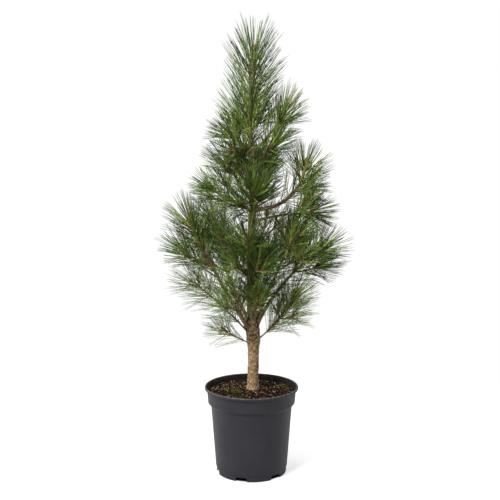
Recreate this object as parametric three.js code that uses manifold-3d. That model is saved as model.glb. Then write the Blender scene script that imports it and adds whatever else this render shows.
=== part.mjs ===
// Young pine in a round nursery pot, in millimetres, +Z up.
// The origin is the centre of the pot's flat underside, and the viewer stands at -Y.
import * as THREE from "three";
import { mergeVertices } from "three/addons/utils/BufferGeometryUtils.js";
import Module from "manifold-3d";

const wasm = await Module();
wasm.setup();

// Pot
const LIP_RADIUS = 121.2;
const LIP_HEIGHT = 228;
const COLLAR_FOOT = 186;
const STEP_FOOT = 178;
const STEP_RADIUS = 105;
const BASE_RADIUS = 90.5;
const FOOT_RING_HEIGHT = 15.5;
const FLOOR_THICKNESS = 2.6;
const WALL_THICKNESS = 2.2;
const POT_SEGMENTS = 40;
const SLOT_COUNT = 6;
const SLOT_WIDTH = 32;
const SLOT_HEIGHT = 11;
const SLOT_DEPTH = 12;
const FIRST_SLOT_ANGLE = 253;

// Soil
const SOIL_AT_WALL = 212;
const SOIL_AT_TRUNK = 220;
const SOIL_FLAT_RADIUS = 24;
const SOIL_BUMP = 1.6;
const SOIL_CLEARANCE = 0.5;
const SOIL_DICE_SEED = 77;
const MOUND_SHARES = [0.86, 0.66, 0.44];

// Trunk, with one row for each height: height, sideways drift, drift towards the back, radius
const GAP = 0.35;
const TRUNK_SIDES = 10;
const TRUNK = [
  [220, 4, 0, 18.5],
  [226, 4, 0, 16.4],
  [236, 4, 0, 15.2],
  [262, 4, 0, 14.5],
  [300, 5, 0, 14.3],
  [330, 5, 0, 15.2],
  [349, 5, 0, 17.8],
  [376, 3, 0, 18.4],
  [404, 1, 0, 15],
  [428, 1, 0, 13],
  [470, 0, 1, 12],
  [531, 0, 2, 11],
  [610, 1, 3, 9.6],
  [685, 3, 4, 8.6],
  [760, 5, 3, 7.2],
  [836, 2, 0, 6.3],
  [868, -2, -1, 5.5],
  [900, -6, -1, 5.2],
  [948, -3, 0, 4.7],
  [1000, 3, 0, 4.2],
  [1050, 4, 0, 3.8],
  [1077, 5, 0, 3.6],
  [1084, 5, 0, 4.4],
];
const LEADER_BUD_TIP = [1099, 5, 0];
const BUD_TIP_RADIUS = 0.5;

// Boughs and the foliage each one carries, whorl by whorl from the ground up. A row holds:
// name, height on the trunk, direction round the trunk, rise at the trunk, rise at the tip,
// turn, bare length, leafy length, side shoots, roll of the first one, side shoot length,
// needle length, girth. Angles are in degrees, 0 to the right, 90 to the back.
const BOUGHS = [
  ["low_left", 338, 184, 18, 36, 0, 20, 70, 0, 0, 0, 68, 0.3],
  ["low_right", 342, -34, 36, 62, 8, 48, 146, 3, 20, 52, 86, 0.35],
  ["long_left", 352, 200, 51, 38, -10, 54, 176, 0, 0, 0, 84, 0.3],
  ["low_front_left", 364, 234, 46, 66, 0, 44, 112, 2, 60, 46, 80, 0.4],
  ["low_front", 378, 281, 44, 74, 0, 38, 100, 3, 20, 52, 86, 0.7],
  ["big_right", 366, -14, 68, 34, -12, 138, 164, 3, 60, 74, 94, 1],
  ["back_right", 378, 48, 56, 52, 0, 100, 193, 3, 10, 74, 96, 1],
  ["front_middle", 384, 265, 56, 72, 0, 90, 190, 3, 75, 60, 96, 1],
  ["big_left", 362, 193, 57, 66, 2, 130, 212, 1, 265, 84, 98, 1],
  ["back_left", 374, 138, 56, 60, 0, 100, 189, 3, 60, 70, 96, 1],
  ["middle_front_right", 480, -68, 34, 60, 0, 20, 108, 2, 50, 50, 90, 1],
  ["middle_left", 515, 212, 34, 66, 0, 40, 105, 2, 0, 60, 92, 1],
  ["middle_right", 520, -25, 22, 62, 0, 60, 112, 2, 20, 60, 94, 1],
  ["middle_back", 528, 72, 34, 58, 0, 65, 130, 2, 0, 66, 94, 1],
  ["middle_back_right", 535, 22, 30, 58, 0, 60, 118, 2, 0, 60, 94, 1],
  ["middle_back_left", 560, 150, 26, 58, 0, 55, 112, 2, 0, 60, 94, 1],
  ["high_right_low", 655, -16, 18, 2, 0, 90, 64, 1, 60, 40, 84, 1],
  ["high_front", 660, 270, 12, 62, 0, 24, 110, 2, 30, 56, 96, 1],
  ["high_right", 688, -6, -6, 88, 0, 72, 124, 1, 255, 40, 90, 1.5],
  ["high_left", 680, 190, 28, 32, 0, 34, 84, 2, 50, 52, 84, 1],
  ["high_back", 682, 78, 34, 60, 0, 50, 112, 3, 30, 58, 92, 1],
  ["high_front_left", 702, 212, 50, 58, 0, 25, 108, 1, 0, 45, 92, 1],
  ["top_front_right", 802, -48, 16, 52, 0, 20, 62, 1, 0, 42, 90, 1],
  ["top_front_left", 806, 236, 8, 40, 0, 20, 66, 1, 0, 42, 86, 1],
  ["top_left", 828, 186, 34, 50, 0, 22, 48, 1, 0, 34, 84, 1],
  ["top_right", 830, 8, 40, 64, 0, 30, 98, 1, 180, 48, 98, 1],
  ["top_back", 832, 95, 40, 58, 0, 34, 92, 2, 0, 48, 94, 1],
];
const SHOOT_TIP_RADIUS = 2.1;
const SHOOT_TAPER = 0.0125;
const SIDE_SHOOT_FORK = 0.38;
const SIDE_SHOOT_SPREAD = 44;
const SIDE_SHOOT_LIFT = 0.34;
const SIDE_SHOOT_WANDER = 14;
const SIDE_NEEDLE_SHARE = 0.86;
const BUD_LENGTH = 9;
const BOUGH_SIDES = 6;
const BOUGH_STEPS = 4;
const STEM_SIDES = 4;
const THICK_STEM_SIDES = 5;
const THICK_STEM_LENGTH = 140;
const SIDE_SHOOT_SIDES = 3;
const PATH_STEPS = 12;
const FORK_STEP = 5;
const SIDE_SHOOT_SHORTEST = 0.88;
const SIDE_SHOOT_LONGEST = 1.12;
const SIDE_SHOOT_SWELL = 0.12;

// Foliage sleeves round the trunk: name, lowest height, highest height, needle length
const SLEEVES = [
  ["trunk_middle", 732, 790, 84],
  ["leader", 850, 1073, 116],
];
const SLEEVE_WALL = 1.9;
const SLEEVE_SIDES = 10;
const SLEEVE_NEEDLE_START = 2;

// Clearances between shoots are measured on a coarse path of three straight pieces and the bud.
const COARSE_PARTS = [0, 1 / 3, 2 / 3, 1];

// Needles, each standing on one face of a shoot's core
const RING_SPACING = 10;
const NEEDLE_START = 9;
const SIDE_NEEDLE_START = 13;
const NEEDLE_SHARE = 0.78;
const NEEDLE_SPREAD = 42;
const NEEDLE_SPREAD_AT_TIP = 20;
const CLOSING_LENGTH = 22;
const NEEDLE_TIP_SHORTENING = 0.12;
const NEEDLE_WANDER = 6;
const SHORTEST_SHARE = 0.88;
const LONGEST_SHARE = 1.06;
const SPACE_PROBES = [0.6, 1];
const NEEDLE_CLEARANCE = 0.45;
const TWIG_GAP = 1.5;
const FREE_PART = 0.16;
const SPACE_SHARE = 0.72;
const SHORTENED = [1, 0.85, 0.7, 0.56, 0.42];
const STEADIED = [1, 0.4, 0];
const TOUCHING = -0.0005;

// Limits below which a length or an angle counts as none, and the edges of a four-cornered body
const NEARLY_UPRIGHT = 0.04;
const WELD_DISTANCE = 1e-4;
const NEARLY_PARALLEL = 1e-6;
const NO_AXIS = 1e-9;
const SMALLEST_EDGE = 0.02;
const CORNER_PAIRS = [[0, 1], [0, 2], [0, 3], [1, 2], [1, 3], [2, 3]];
const FACE_EDGES = [[0, 1], [0, 2], [1, 2], [3, 4]];

const UP = new THREE.Vector3(0, 0, 1);
const DEGREE = Math.PI / 180;

// Repeatable dice, so that every build grows the same plant.
function makeDice(seed) {
  let state = seed;
  return (low, high) => {
    state = (state * 1664525 + 1013904223) % 4294967296;
    return low + ((high - low) * state) / 4294967296;
  };
}

function direction(azimuth, rise) {
  const level = Math.cos(rise * DEGREE);
  return new THREE.Vector3(
    level * Math.cos(azimuth * DEGREE),
    level * Math.sin(azimuth * DEGREE),
    Math.sin(rise * DEGREE),
  );
}

// Two axes across a direction: one level, one pointing upwards.
function crossAxes(along) {
  const level = new THREE.Vector3().crossVectors(UP, along);
  if (level.length() < NEARLY_UPRIGHT) {
    level.set(1, 0, 0);
  }
  level.normalize();
  const upward = new THREE.Vector3().crossVectors(along, level).normalize();
  level.crossVectors(upward, along).normalize();
  return [level, upward];
}

// A path that starts at a point and changes its rise and direction evenly along its length.
function growPath(start, azimuth, riseStart, riseEnd, turn, length, steps) {
  const points = [start.clone()];
  for (let i = 0; i < steps; i += 1) {
    const part = (i + 0.5) / steps;
    const rise = riseStart + (riseEnd - riseStart) * part;
    const step = direction(azimuth + turn * part, rise).multiplyScalar(length / steps);
    points.push(points[i].clone().add(step));
  }
  return points;
}

function pointAlong(path, length, distance) {
  const place = Math.min(Math.max(distance / length, 0), 1) * (path.length - 1);
  const index = Math.min(Math.floor(place), path.length - 2);
  return path[index].clone().lerp(path[index + 1], place - index);
}

function trunkAt(height) {
  let row = 0;
  while (row < TRUNK.length - 2 && TRUNK[row + 1][0] < height) {
    row += 1;
  }
  const low = TRUNK[row];
  const high = TRUNK[row + 1];
  const part = (height - low[0]) / (high[0] - low[0]);
  const mix = (column) => low[column] + (high[column] - low[column]) * part;
  return { point: new THREE.Vector3(mix(1), mix(2), height), radius: mix(3) };
}

// A closed solid through rings of points. The last ring may be one point, a pointed end.
function solidFromRings(rings) {
  const places = [];
  const faces = [];
  const starts = rings.map((ring) => {
    const start = places.length / 3;
    ring.forEach((point) => places.push(point.x, point.y, point.z));
    return start;
  });
  for (let i = 0; i + 1 < rings.length; i += 1) {
    const sides = rings[i].length;
    for (let k = 0; k < sides; k += 1) {
      const next = (k + 1) % sides;
      if (rings[i + 1].length === 1) {
        faces.push(starts[i] + k, starts[i] + next, starts[i + 1]);
      } else {
        faces.push(starts[i] + k, starts[i] + next, starts[i + 1] + next);
        faces.push(starts[i] + k, starts[i + 1] + next, starts[i + 1] + k);
      }
    }
  }
  const last = rings.length - 1;
  for (let k = 1; k + 1 < rings[0].length; k += 1) {
    faces.push(starts[0], starts[0] + k + 1, starts[0] + k);
  }
  for (let k = 1; k + 1 < rings[last].length; k += 1) {
    faces.push(starts[last], starts[last] + k, starts[last] + k + 1);
  }
  const geometry = new THREE.BufferGeometry();
  geometry.setAttribute("position", new THREE.Float32BufferAttribute(places, 3));
  geometry.setIndex(faces);
  return geometry;
}

function ringAround(centre, along, radius, sides, firstAngle = 0) {
  const [level, upward] = crossAxes(along);
  const ring = [];
  for (let k = 0; k < sides; k += 1) {
    const angle = firstAngle + (2 * Math.PI * k) / sides;
    ring.push(
      centre
        .clone()
        .addScaledVector(level, radius * Math.cos(angle))
        .addScaledVector(upward, radius * Math.sin(angle)),
    );
  }
  return ring;
}

// A tapering limb along a list of points, whose last end is square to a given direction.
function limb(points, radii, endAlong, sides) {
  const rings = points.map((point, i) => {
    if (i === points.length - 1) {
      return ringAround(point, endAlong, radii[i], sides);
    }
    const before = points[Math.max(i - 1, 0)];
    return ringAround(point, points[i + 1].clone().sub(before).normalize(), radii[i], sides);
  });
  return solidFromRings(rings);
}

// Joins and cuts are worked out on welded solids.
function toSolid(geometry) {
  const bare = geometry.clone();
  bare.deleteAttribute("normal");
  bare.deleteAttribute("uv");
  const merged = mergeVertices(bare, WELD_DISTANCE);
  const corners = merged.index.array;
  const kept = [];
  for (let i = 0; i < corners.length; i += 3) {
    const [a, b, c] = corners.slice(i, i + 3);
    if (a !== b && b !== c && c !== a) {
      kept.push(a, b, c);
    }
  }
  return new wasm.Manifold(
    new wasm.Mesh({
      numProp: 3,
      vertProperties: new Float32Array(merged.attributes.position.array),
      triVerts: new Uint32Array(kept),
    }),
  );
}

// The one closed body that matters: scraps are dropped and sealed hollows filled.
function mainBody(solid) {
  return solid
    .simplify(SMALLEST_EDGE)
    .decompose()
    .reduce((largest, piece) => (piece.volume() > largest.volume() ? piece : largest));
}

function toGeometry(solid) {
  const mesh = mainBody(solid).getMesh();
  const geometry = new THREE.BufferGeometry();
  geometry.setAttribute("position", new THREE.BufferAttribute(mesh.vertProperties, 3));
  geometry.setIndex(new THREE.BufferAttribute(mesh.triVerts, 1));
  const flat = geometry.toNonIndexed();
  flat.computeVertexNormals();
  return flat;
}

// The least distance between two straight pieces, and where on the first it falls.
function closest(a0, a1, b0, b1) {
  const u = a1.clone().sub(a0);
  const v = b1.clone().sub(b0);
  const w = a0.clone().sub(b0);
  const uu = u.dot(u);
  const uv = u.dot(v);
  const vv = v.dot(v);
  const uw = u.dot(w);
  const vw = v.dot(w);
  const spread = uu * vv - uv * uv;
  const clamp = (value) => Math.min(Math.max(value, 0), 1);
  let s = spread > NEARLY_PARALLEL ? clamp((uv * vw - vv * uw) / spread) : 0;
  let t = clamp((uv * s + vw) / vv);
  s = clamp((uv * t - uw) / uu);
  t = clamp((uv * s + vw) / vv);
  const apart = w.addScaledVector(u, s).addScaledVector(v, -t).length();
  return { apart, s };
}

function pointToSegment(point, { from, to }) {
  const x = to.x - from.x;
  const y = to.y - from.y;
  const z = to.z - from.z;
  const px = point.x - from.x;
  const py = point.y - from.y;
  const pz = point.z - from.z;
  const part = Math.min(Math.max((x * px + y * py + z * pz) / (x * x + y * y + z * z), 0), 1);
  return Math.hypot(px - part * x, py - part * y, pz - part * z);
}

// Four corners each: whether some plane keeps them a margin apart.
function separated(a, b, margin) {
  const apartAlong = (axis) => {
    if (axis.lengthSq() < NO_AXIS) {
      return false;
    }
    axis.normalize();
    const alongA = a.map((corner) => corner.dot(axis));
    const alongB = b.map((corner) => corner.dot(axis));
    const gap = Math.max(
      Math.min(...alongB) - Math.max(...alongA),
      Math.min(...alongA) - Math.max(...alongB),
    );
    return gap >= margin;
  };
  const edgesOf = (corners) =>
    CORNER_PAIRS.map(([i, k]) => corners[k].clone().sub(corners[i]).normalize());
  const edgesA = edgesOf(a);
  const edgesB = edgesOf(b);
  const faces = [edgesA, edgesB].some((edges) =>
    FACE_EDGES.some(([i, k]) => apartAlong(edges[i].clone().cross(edges[k]))),
  );
  return faces || edgesA.some((i) => edgesB.some((k) => apartAlong(i.clone().cross(k))));
}

function segments(points, radii) {
  return points.slice(1).map((point, i) => ({
    from: points[i],
    to: point,
    radius: Math.max(radii[i], radii[i + 1]),
  }));
}

// The core of a shoot: rings of corners, each turned half a side from the last.
function coreRings(points, radii, sides, level) {
  return points.map((point, i) => {
    const before = points[Math.max(i - 1, 0)];
    const after = points[Math.min(i + 1, points.length - 1)];
    const along = level ? UP : after.clone().sub(before).normalize();
    return ringAround(point, along, radii[i], sides, (Math.PI / sides) * i);
  });
}

// The faces between the rings, with their place along the shoot and their way out.
function coreFaces(shoot) {
  const faces = [];
  const { rings, points, length } = shoot;
  for (let i = 0; i + 1 < rings.length; i += 1) {
    const sides = rings[i].length;
    const along = points[i + 1].clone().sub(points[i]).normalize();
    for (let k = 0; k < sides; k += 1) {
      const next = (k + 1) % sides;
      const pair = [
        [rings[i][k], rings[i][next], rings[i + 1][k]],
        [rings[i][next], rings[i + 1][next], rings[i + 1][k]],
      ];
      pair.forEach((corners, second) => {
        const centre = new THREE.Vector3();
        corners.forEach((corner) => centre.addScaledVector(corner, 1 / 3));
        const reach = centre.clone().sub(points[i]);
        const distance = reach.dot(along);
        const across = reach.addScaledVector(along, -distance).normalize();
        const part = (i + (second + 1) / 3) / (rings.length - 1);
        faces.push({ corners, centre, along, across, part, distance: part * length });
      });
    }
  }
  return faces;
}

function budTip(points, length) {
  const end = points[points.length - 1];
  const along = end.clone().sub(points[points.length - 2]).normalize();
  return end.clone().addScaledVector(along, length);
}

function makeShoot(points, radii, sides, needleLength, start, sleeve = false) {
  let length = 0;
  points.slice(1).forEach((point, i) => {
    length += point.distanceTo(points[i]);
  });
  const shoot = { points, radii, length, needleLength, start, sleeve, needles: [] };
  shoot.rings = coreRings(points, radii, sides, sleeve);
  shoot.faces = coreFaces(shoot);
  const coarse = COARSE_PARTS.map((part) => pointAlong(points, 1, part));
  shoot.bud = budTip(points, sleeve ? 0 : BUD_LENGTH);
  if (!sleeve) {
    coarse.push(shoot.bud);
  }
  shoot.axis = segments(coarse, coarse.map(() => radii[0]));
  return shoot;
}

// Every bough, with the shoots of its foliage, worked out from its row.
function growBough(row, order) {
  const [name, height, azimuth, riseStart, riseEnd, turn] = row;
  const [bare, leafy, sideCount, roll, sideLength, needleLength, girth] = row.slice(6);
  const taper = SHOOT_TAPER * girth;
  const dice = makeDice(1000 + 37 * order);
  const total = bare + leafy;
  const start = trunkAt(height).point;
  const path = growPath(start, azimuth, riseStart, riseEnd, turn, total, PATH_STEPS);
  const spaced = (from, to, steps) => {
    const distances = [];
    for (let i = 0; i <= steps; i += 1) {
      distances.push(from + ((to - from) * i) / steps);
    }
    return [
      distances.map((distance) => pointAlong(path, total, distance)),
      distances.map((distance) => SHOOT_TIP_RADIUS + taper * (total - distance)),
    ];
  };
  const stem = spaced(bare + GAP, total, Math.round(leafy / RING_SPACING));
  const endAlong = stem[0][1].clone().sub(stem[0][0]).normalize();
  const bareLimb = [...spaced(0, bare, BOUGH_STEPS), endAlong];
  const stemSides = leafy > THICK_STEM_LENGTH ? THICK_STEM_SIDES : STEM_SIDES;
  const shoots = [makeShoot(...stem, stemSides, needleLength, NEEDLE_START)];
  const forkAt = bare + leafy * SIDE_SHOOT_FORK;
  const fork = pointAlong(path, total, forkAt);
  const along = pointAlong(path, total, forkAt + FORK_STEP).sub(fork).normalize();
  const [level, upward] = crossAxes(along);
  for (let k = 0; k < sideCount; k += 1) {
    const wander = dice(-SIDE_SHOOT_WANDER, SIDE_SHOOT_WANDER);
    const angle = (roll + (360 * k) / sideCount + wander) * DEGREE;
    const outward = along
      .clone()
      .multiplyScalar(Math.cos(SIDE_SHOOT_SPREAD * DEGREE))
      .addScaledVector(level, Math.cos(angle) * Math.sin(SIDE_SHOOT_SPREAD * DEGREE))
      .addScaledVector(upward, Math.sin(angle) * Math.sin(SIDE_SHOOT_SPREAD * DEGREE))
      .normalize();
    const rise = Math.asin(outward.z) / DEGREE;
    const heading = Math.atan2(outward.y, outward.x) / DEGREE;
    const length = sideLength * dice(SIDE_SHOOT_SHORTEST, SIDE_SHOOT_LONGEST);
    const riseAtEnd = rise + (90 - rise) * SIDE_SHOOT_LIFT;
    const steps = Math.round(length / RING_SPACING);
    const points = growPath(fork, heading, rise, riseAtEnd, 0, length, steps);
    const radii = points.map((_, i) => SHOOT_TIP_RADIUS * (1 + SIDE_SHOOT_SWELL * (1 - i / steps)));
    const needles = needleLength * SIDE_NEEDLE_SHARE;
    shoots.push(makeShoot(points, radii, SIDE_SHOOT_SIDES, needles, SIDE_NEEDLE_START));
  }
  return { name, bareLimb, shoots, dice };
}

// A sleeve of foliage core round the trunk between two heights.
function growSleeve([name, low, high, needleLength], order) {
  const points = [];
  const radii = [];
  const steps = Math.round((high - low) / RING_SPACING);
  for (let i = 0; i <= steps; i += 1) {
    const at = trunkAt(low + ((high - low) * i) / steps);
    points.push(at.point);
    radii.push(at.radius + GAP + SLEEVE_WALL);
  }
  const shoot = makeShoot(points, radii, SLEEVE_SIDES, needleLength, SLEEVE_NEEDLE_START, true);
  return { name, sleeve: true, shoots: [shoot], dice: makeDice(9000 + 53 * order) };
}

const grown = BOUGHS.map(growBough);
const masses = [...grown, ...SLEEVES.map(growSleeve)];

const trunkPoints = TRUNK.map(([height, x, y]) => new THREE.Vector3(x, y, height));
trunkPoints.push(new THREE.Vector3(LEADER_BUD_TIP[1], LEADER_BUD_TIP[2], LEADER_BUD_TIP[0]));
const trunkRadii = [...TRUNK.map((row) => row[3]), BUD_TIP_RADIUS];
const limbSegments = [
  ...segments(trunkPoints, trunkRadii),
  ...grown.flatMap(({ bareLimb }) => segments(...bareLimb)),
];

function coresMeet(some, others) {
  return some.some((a) =>
    others.some((b) => closest(a.from, a.to, b.from, b.to).apart < a.radius + b.radius + TWIG_GAP),
  );
}

// A side shoot that would touch a limb or another mass is left out.
const shoots = [];
masses.forEach((mass) => {
  mass.shoots[0].mass = mass;
  shoots.push(mass.shoots[0]);
});
masses.forEach((mass) => {
  mass.shoots = mass.shoots.filter((shoot, order) => {
    if (order === 0) {
      return true;
    }
    shoot.mass = mass;
    const cores = segments(shoot.points, shoot.radii);
    const others = shoots.filter((other) => other.mass !== mass).flatMap(({ axis }) => axis);
    const clear = !coresMeet(cores, others) && !coresMeet(cores, limbSegments);
    if (clear) {
      shoots.push(shoot);
    }
    return clear;
  });
});

// A needle on a face: the face is its root, and its tip leans towards the shoot's tip.
function makeNeedle(shoot, face, dice, steady, share) {
  const closing = Math.exp((face.distance - shoot.length) / CLOSING_LENGTH);
  const evenLean = NEEDLE_SPREAD + (NEEDLE_SPREAD_AT_TIP - NEEDLE_SPREAD) * closing;
  const lean = evenLean + dice.lean * steady;
  const turned = face.across.clone().applyAxisAngle(face.along, dice.turn * steady * DEGREE);
  const heading = face.along
    .clone()
    .multiplyScalar(Math.cos(lean * DEGREE))
    .addScaledVector(turned, Math.sin(lean * DEGREE));
  const full = shoot.needleLength * (1 - NEEDLE_TIP_SHORTENING * face.part ** 2);
  const tip = face.centre.clone().addScaledVector(heading, full * dice.length * share);
  const middle = face.centre.clone().lerp(tip, 0.5);
  const rootRadius = Math.max(
    ...face.corners.map((corner) => {
      const reach = corner.clone().sub(face.centre);
      return reach.addScaledVector(heading, -reach.dot(heading)).length();
    }),
  );
  const corners = [...face.corners, tip];
  const reach = middle.distanceTo(tip) + rootRadius;
  return { face, shoot, tip, middle, reach, rootRadius, corners };
}

// A needle keeps to the space round its own mass, which ends close to half way to the next.
function staysHome({ face, shoot, tip }) {
  return SPACE_PROBES.every((part) => {
    const point = face.centre.clone().lerp(tip, part);
    const own = SPACE_SHARE * Math.min(...shoot.axis.map((axis) => pointToSegment(point, axis)));
    return shoots.every(
      (other) =>
        other.mass === shoot.mass || other.axis.every((axis) => pointToSegment(point, axis) > own),
    );
  });
}

function touchesLimb(needle, segment) {
  const free = needle.face.centre.clone().lerp(needle.tip, FREE_PART);
  const { apart, s } = closest(free, needle.tip, segment.from, segment.to);
  const width = needle.rootRadius * (1 - FREE_PART) * (1 - s);
  return apart < segment.radius + width + NEEDLE_CLEARANCE;
}

function fits(needle) {
  if (limbSegments.some((segment) => touchesLimb(needle, segment))) {
    return false;
  }
  if (shoots.some((other) => other.axis.some((segment) => touchesLimb(needle, segment)))) {
    return false;
  }
  if (!staysHome(needle)) {
    return false;
  }
  return shoots.every((other) => {
    const margin = other === needle.shoot ? TOUCHING : NEEDLE_CLEARANCE;
    return other.needles.every(
      (placed) =>
        placed.middle.distanceTo(needle.middle) > placed.reach + needle.reach ||
        separated(needle.corners, placed.corners, margin),
    );
  });
}

function growNeedle(shoot, face) {
  const { dice } = shoot.mass;
  const thrown = {
    lean: dice(-NEEDLE_WANDER, NEEDLE_WANDER),
    turn: dice(-NEEDLE_WANDER, NEEDLE_WANDER),
    length: dice(SHORTEST_SHARE, LONGEST_SHARE),
    chance: dice(0, 1),
  };
  if (face.distance < shoot.start || thrown.chance > NEEDLE_SHARE) {
    return;
  }
  for (const share of SHORTENED) {
    for (const steady of STEADIED) {
      const needle = makeNeedle(shoot, face, thrown, steady, share);
      if (fits(needle)) {
        shoot.needles.push(needle);
        face.tip = needle.tip;
        return;
      }
    }
  }
}

// Round the whole crown step by step, so that no shoot takes another's room first.
const mostFaces = Math.max(...shoots.map(({ faces }) => faces.length));
for (let index = 0; index < mostFaces; index += 1) {
  shoots.forEach((shoot) => {
    if (index < shoot.faces.length) {
      growNeedle(shoot, shoot.faces[index]);
    }
  });
}

// The core with its needles: a face that carries one gives way to the needle's three sides.
function shootSolid(shoot) {
  const triangles = [];
  shoot.faces.forEach(({ corners, tip }) => {
    const [a, b, c] = corners;
    triangles.push(...(tip ? [a, b, tip, b, c, tip, c, a, tip] : [a, b, c]));
  });
  const foot = shoot.rings[0];
  for (let k = 1; k + 1 < foot.length; k += 1) {
    triangles.push(foot[0], foot[k + 1], foot[k]);
  }
  const head = shoot.rings[shoot.rings.length - 1];
  head.forEach((corner, k) => {
    triangles.push(corner, head[(k + 1) % head.length], shoot.bud);
  });
  const places = triangles.flatMap(({ x, y, z }) => [x, y, z]);
  const geometry = new THREE.BufferGeometry();
  geometry.setAttribute("position", new THREE.Float32BufferAttribute(places, 3));
  return toSolid(geometry);
}

function trunkSolid(extra) {
  const rings = trunkPoints.map((point, i) => {
    const radius = trunkRadii[i] + extra;
    return ringAround(point, UP, radius, TRUNK_SIDES);
  });
  if (extra === 0) {
    rings[rings.length - 1] = [trunkPoints[trunkPoints.length - 1]];
    rings[0].forEach((point) => {
      point.z += GAP;
    });
  }
  return toSolid(solidFromRings(rings));
}

const trunkClearance = trunkSolid(GAP / Math.cos(Math.PI / TRUNK_SIDES));

function boughSolid({ bareLimb }) {
  return toSolid(limb(...bareLimb, BOUGH_SIDES)).subtract(trunkClearance);
}

function massSolid(mass) {
  const solid = mass.shoots.map(shootSolid).reduce((joined, next) => joined.add(next));
  return mass.sleeve ? solid.subtract(trunkClearance) : solid;
}

// Outer and inner outline of the pot wall, each from the underside up: radius, height
const COLLAR_RADIUS = LIP_RADIUS - 5.7;
const COLLAR_FOOT_RADIUS = COLLAR_RADIUS - 2.7;
const WALL_FOOT_RADIUS = BASE_RADIUS + 2.5;
const OUTER_WALL = [
  [BASE_RADIUS, 0],
  [BASE_RADIUS + 0.6, FOOT_RING_HEIGHT],
  [WALL_FOOT_RADIUS, FOOT_RING_HEIGHT + 2.5],
  [STEP_RADIUS, STEP_FOOT],
  [COLLAR_FOOT_RADIUS, COLLAR_FOOT],
  [COLLAR_RADIUS, LIP_HEIGHT - 8.5],
  [LIP_RADIUS - 1.2, LIP_HEIGHT - 7.4],
  [LIP_RADIUS, LIP_HEIGHT - 5.4],
  [LIP_RADIUS, LIP_HEIGHT - 1.6],
  [LIP_RADIUS - 1.4, LIP_HEIGHT],
];
const INNER_WALL = [
  [BASE_RADIUS - WALL_THICKNESS, FLOOR_THICKNESS],
  [WALL_FOOT_RADIUS - WALL_THICKNESS, FOOT_RING_HEIGHT + 4.5],
  [STEP_RADIUS - WALL_THICKNESS, STEP_FOOT + 1],
  [COLLAR_FOOT_RADIUS - WALL_THICKNESS, COLLAR_FOOT + 1],
  [COLLAR_RADIUS - WALL_THICKNESS, LIP_HEIGHT - 8],
  [LIP_RADIUS - 4.6, LIP_HEIGHT - 1.2],
  [LIP_RADIUS - 3.4, LIP_HEIGHT],
];

function lathe(profile) {
  const points = profile.map(([radius, height]) => new THREE.Vector2(radius, height));
  const turned = new THREE.LatheGeometry(points, POT_SEGMENTS);
  turned.rotateX(Math.PI / 2);
  return turned;
}

function potSolid() {
  const inside = [...INNER_WALL].reverse();
  let pot = toSolid(lathe([[0, 0], ...OUTER_WALL, ...inside, [0, FLOOR_THICKNESS]]));
  for (let i = 0; i < SLOT_COUNT; i += 1) {
    const slot = new THREE.BoxGeometry(SLOT_DEPTH, SLOT_WIDTH, SLOT_HEIGHT * 2);
    slot.translate(BASE_RADIUS, 0, 0);
    slot.rotateZ((FIRST_SLOT_ANGLE + (360 * i) / SLOT_COUNT) * DEGREE);
    pot = pot.subtract(toSolid(slot));
  }
  return pot;
}

// The soil fills the pot to a low mound with a flat patch under the trunk.
function soilGeometry() {
  const dice = makeDice(SOIL_DICE_SEED);
  const side = INNER_WALL.filter(([, height]) => height < SOIL_AT_WALL).map(
    ([radius, height], order) => [
      radius - SOIL_CLEARANCE,
      height + (order === 0 ? SOIL_CLEARANCE : 0),
    ],
  );
  const topRadius = COLLAR_RADIUS - WALL_THICKNESS - SOIL_CLEARANCE - 1;
  const mound = MOUND_SHARES.map((share) => {
    const rise = (SOIL_AT_TRUNK - SOIL_AT_WALL) * (1 - share);
    return [topRadius * share, SOIL_AT_WALL + rise];
  });
  const foot = [[SOIL_FLAT_RADIUS, SOIL_AT_TRUNK], [0, SOIL_AT_TRUNK]];
  const profile = [[0, side[0][1]], ...side, [topRadius, SOIL_AT_WALL], ...mound, ...foot];
  const geometry = lathe(profile);
  const places = geometry.attributes.position;
  const heights = new Map();
  for (let i = 0; i < places.count; i += 1) {
    const radius = Math.hypot(places.getX(i), places.getY(i));
    const onMound = places.getZ(i) > SOIL_AT_WALL - 1 && radius > SOIL_FLAT_RADIUS + 1;
    if (onMound) {
      const key = `${Math.round(places.getX(i) * 50)} ${Math.round(places.getY(i) * 50)}`;
      if (!heights.has(key)) {
        heights.set(key, dice(-SOIL_BUMP, SOIL_BUMP));
      }
      places.setZ(i, places.getZ(i) + heights.get(key));
    }
  }
  return toGeometry(toSolid(geometry));
}

function material(color, roughness) {
  return new THREE.MeshStandardMaterial({ color, roughness, metalness: 0 });
}

const part = new THREE.Group();
part.name = "potted_pine";

function addNode(name, geometry, color, roughness) {
  const mesh = new THREE.Mesh(geometry, material(color, roughness));
  mesh.name = name;
  part.add(mesh);
}

addNode("pot", toGeometry(potSolid()), 0x26282b, 0.5);
addNode("soil", soilGeometry(), 0x3a251c, 0.95);
addNode("trunk", toGeometry(trunkSolid(0)), 0xa88a6c, 0.9);
grown.forEach((bough) => {
  addNode(`bough_${bough.name}`, toGeometry(boughSolid(bough)), 0x8a6140, 0.85);
});
masses.forEach((mass) => {
  addNode(`foliage_${mass.name}`, toGeometry(massSolid(mass)), 0x3f6a2c, 0.6);
});

export default part;
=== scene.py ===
# %% [markdown]
# # A young pine in a nursery pot
# The real object is a whole young pine, about 1.17 m tall, in a round plastic nursery pot.
# A tree could be sculpted by hand or scattered as flat leaf cards. Here it is grown by a small
# rule with fixed seeds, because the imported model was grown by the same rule, so that limbs,
# twigs and needles all meet, and every run gives the same plant.

import math

import bpy
import numpy as np
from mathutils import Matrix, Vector, noise


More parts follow.
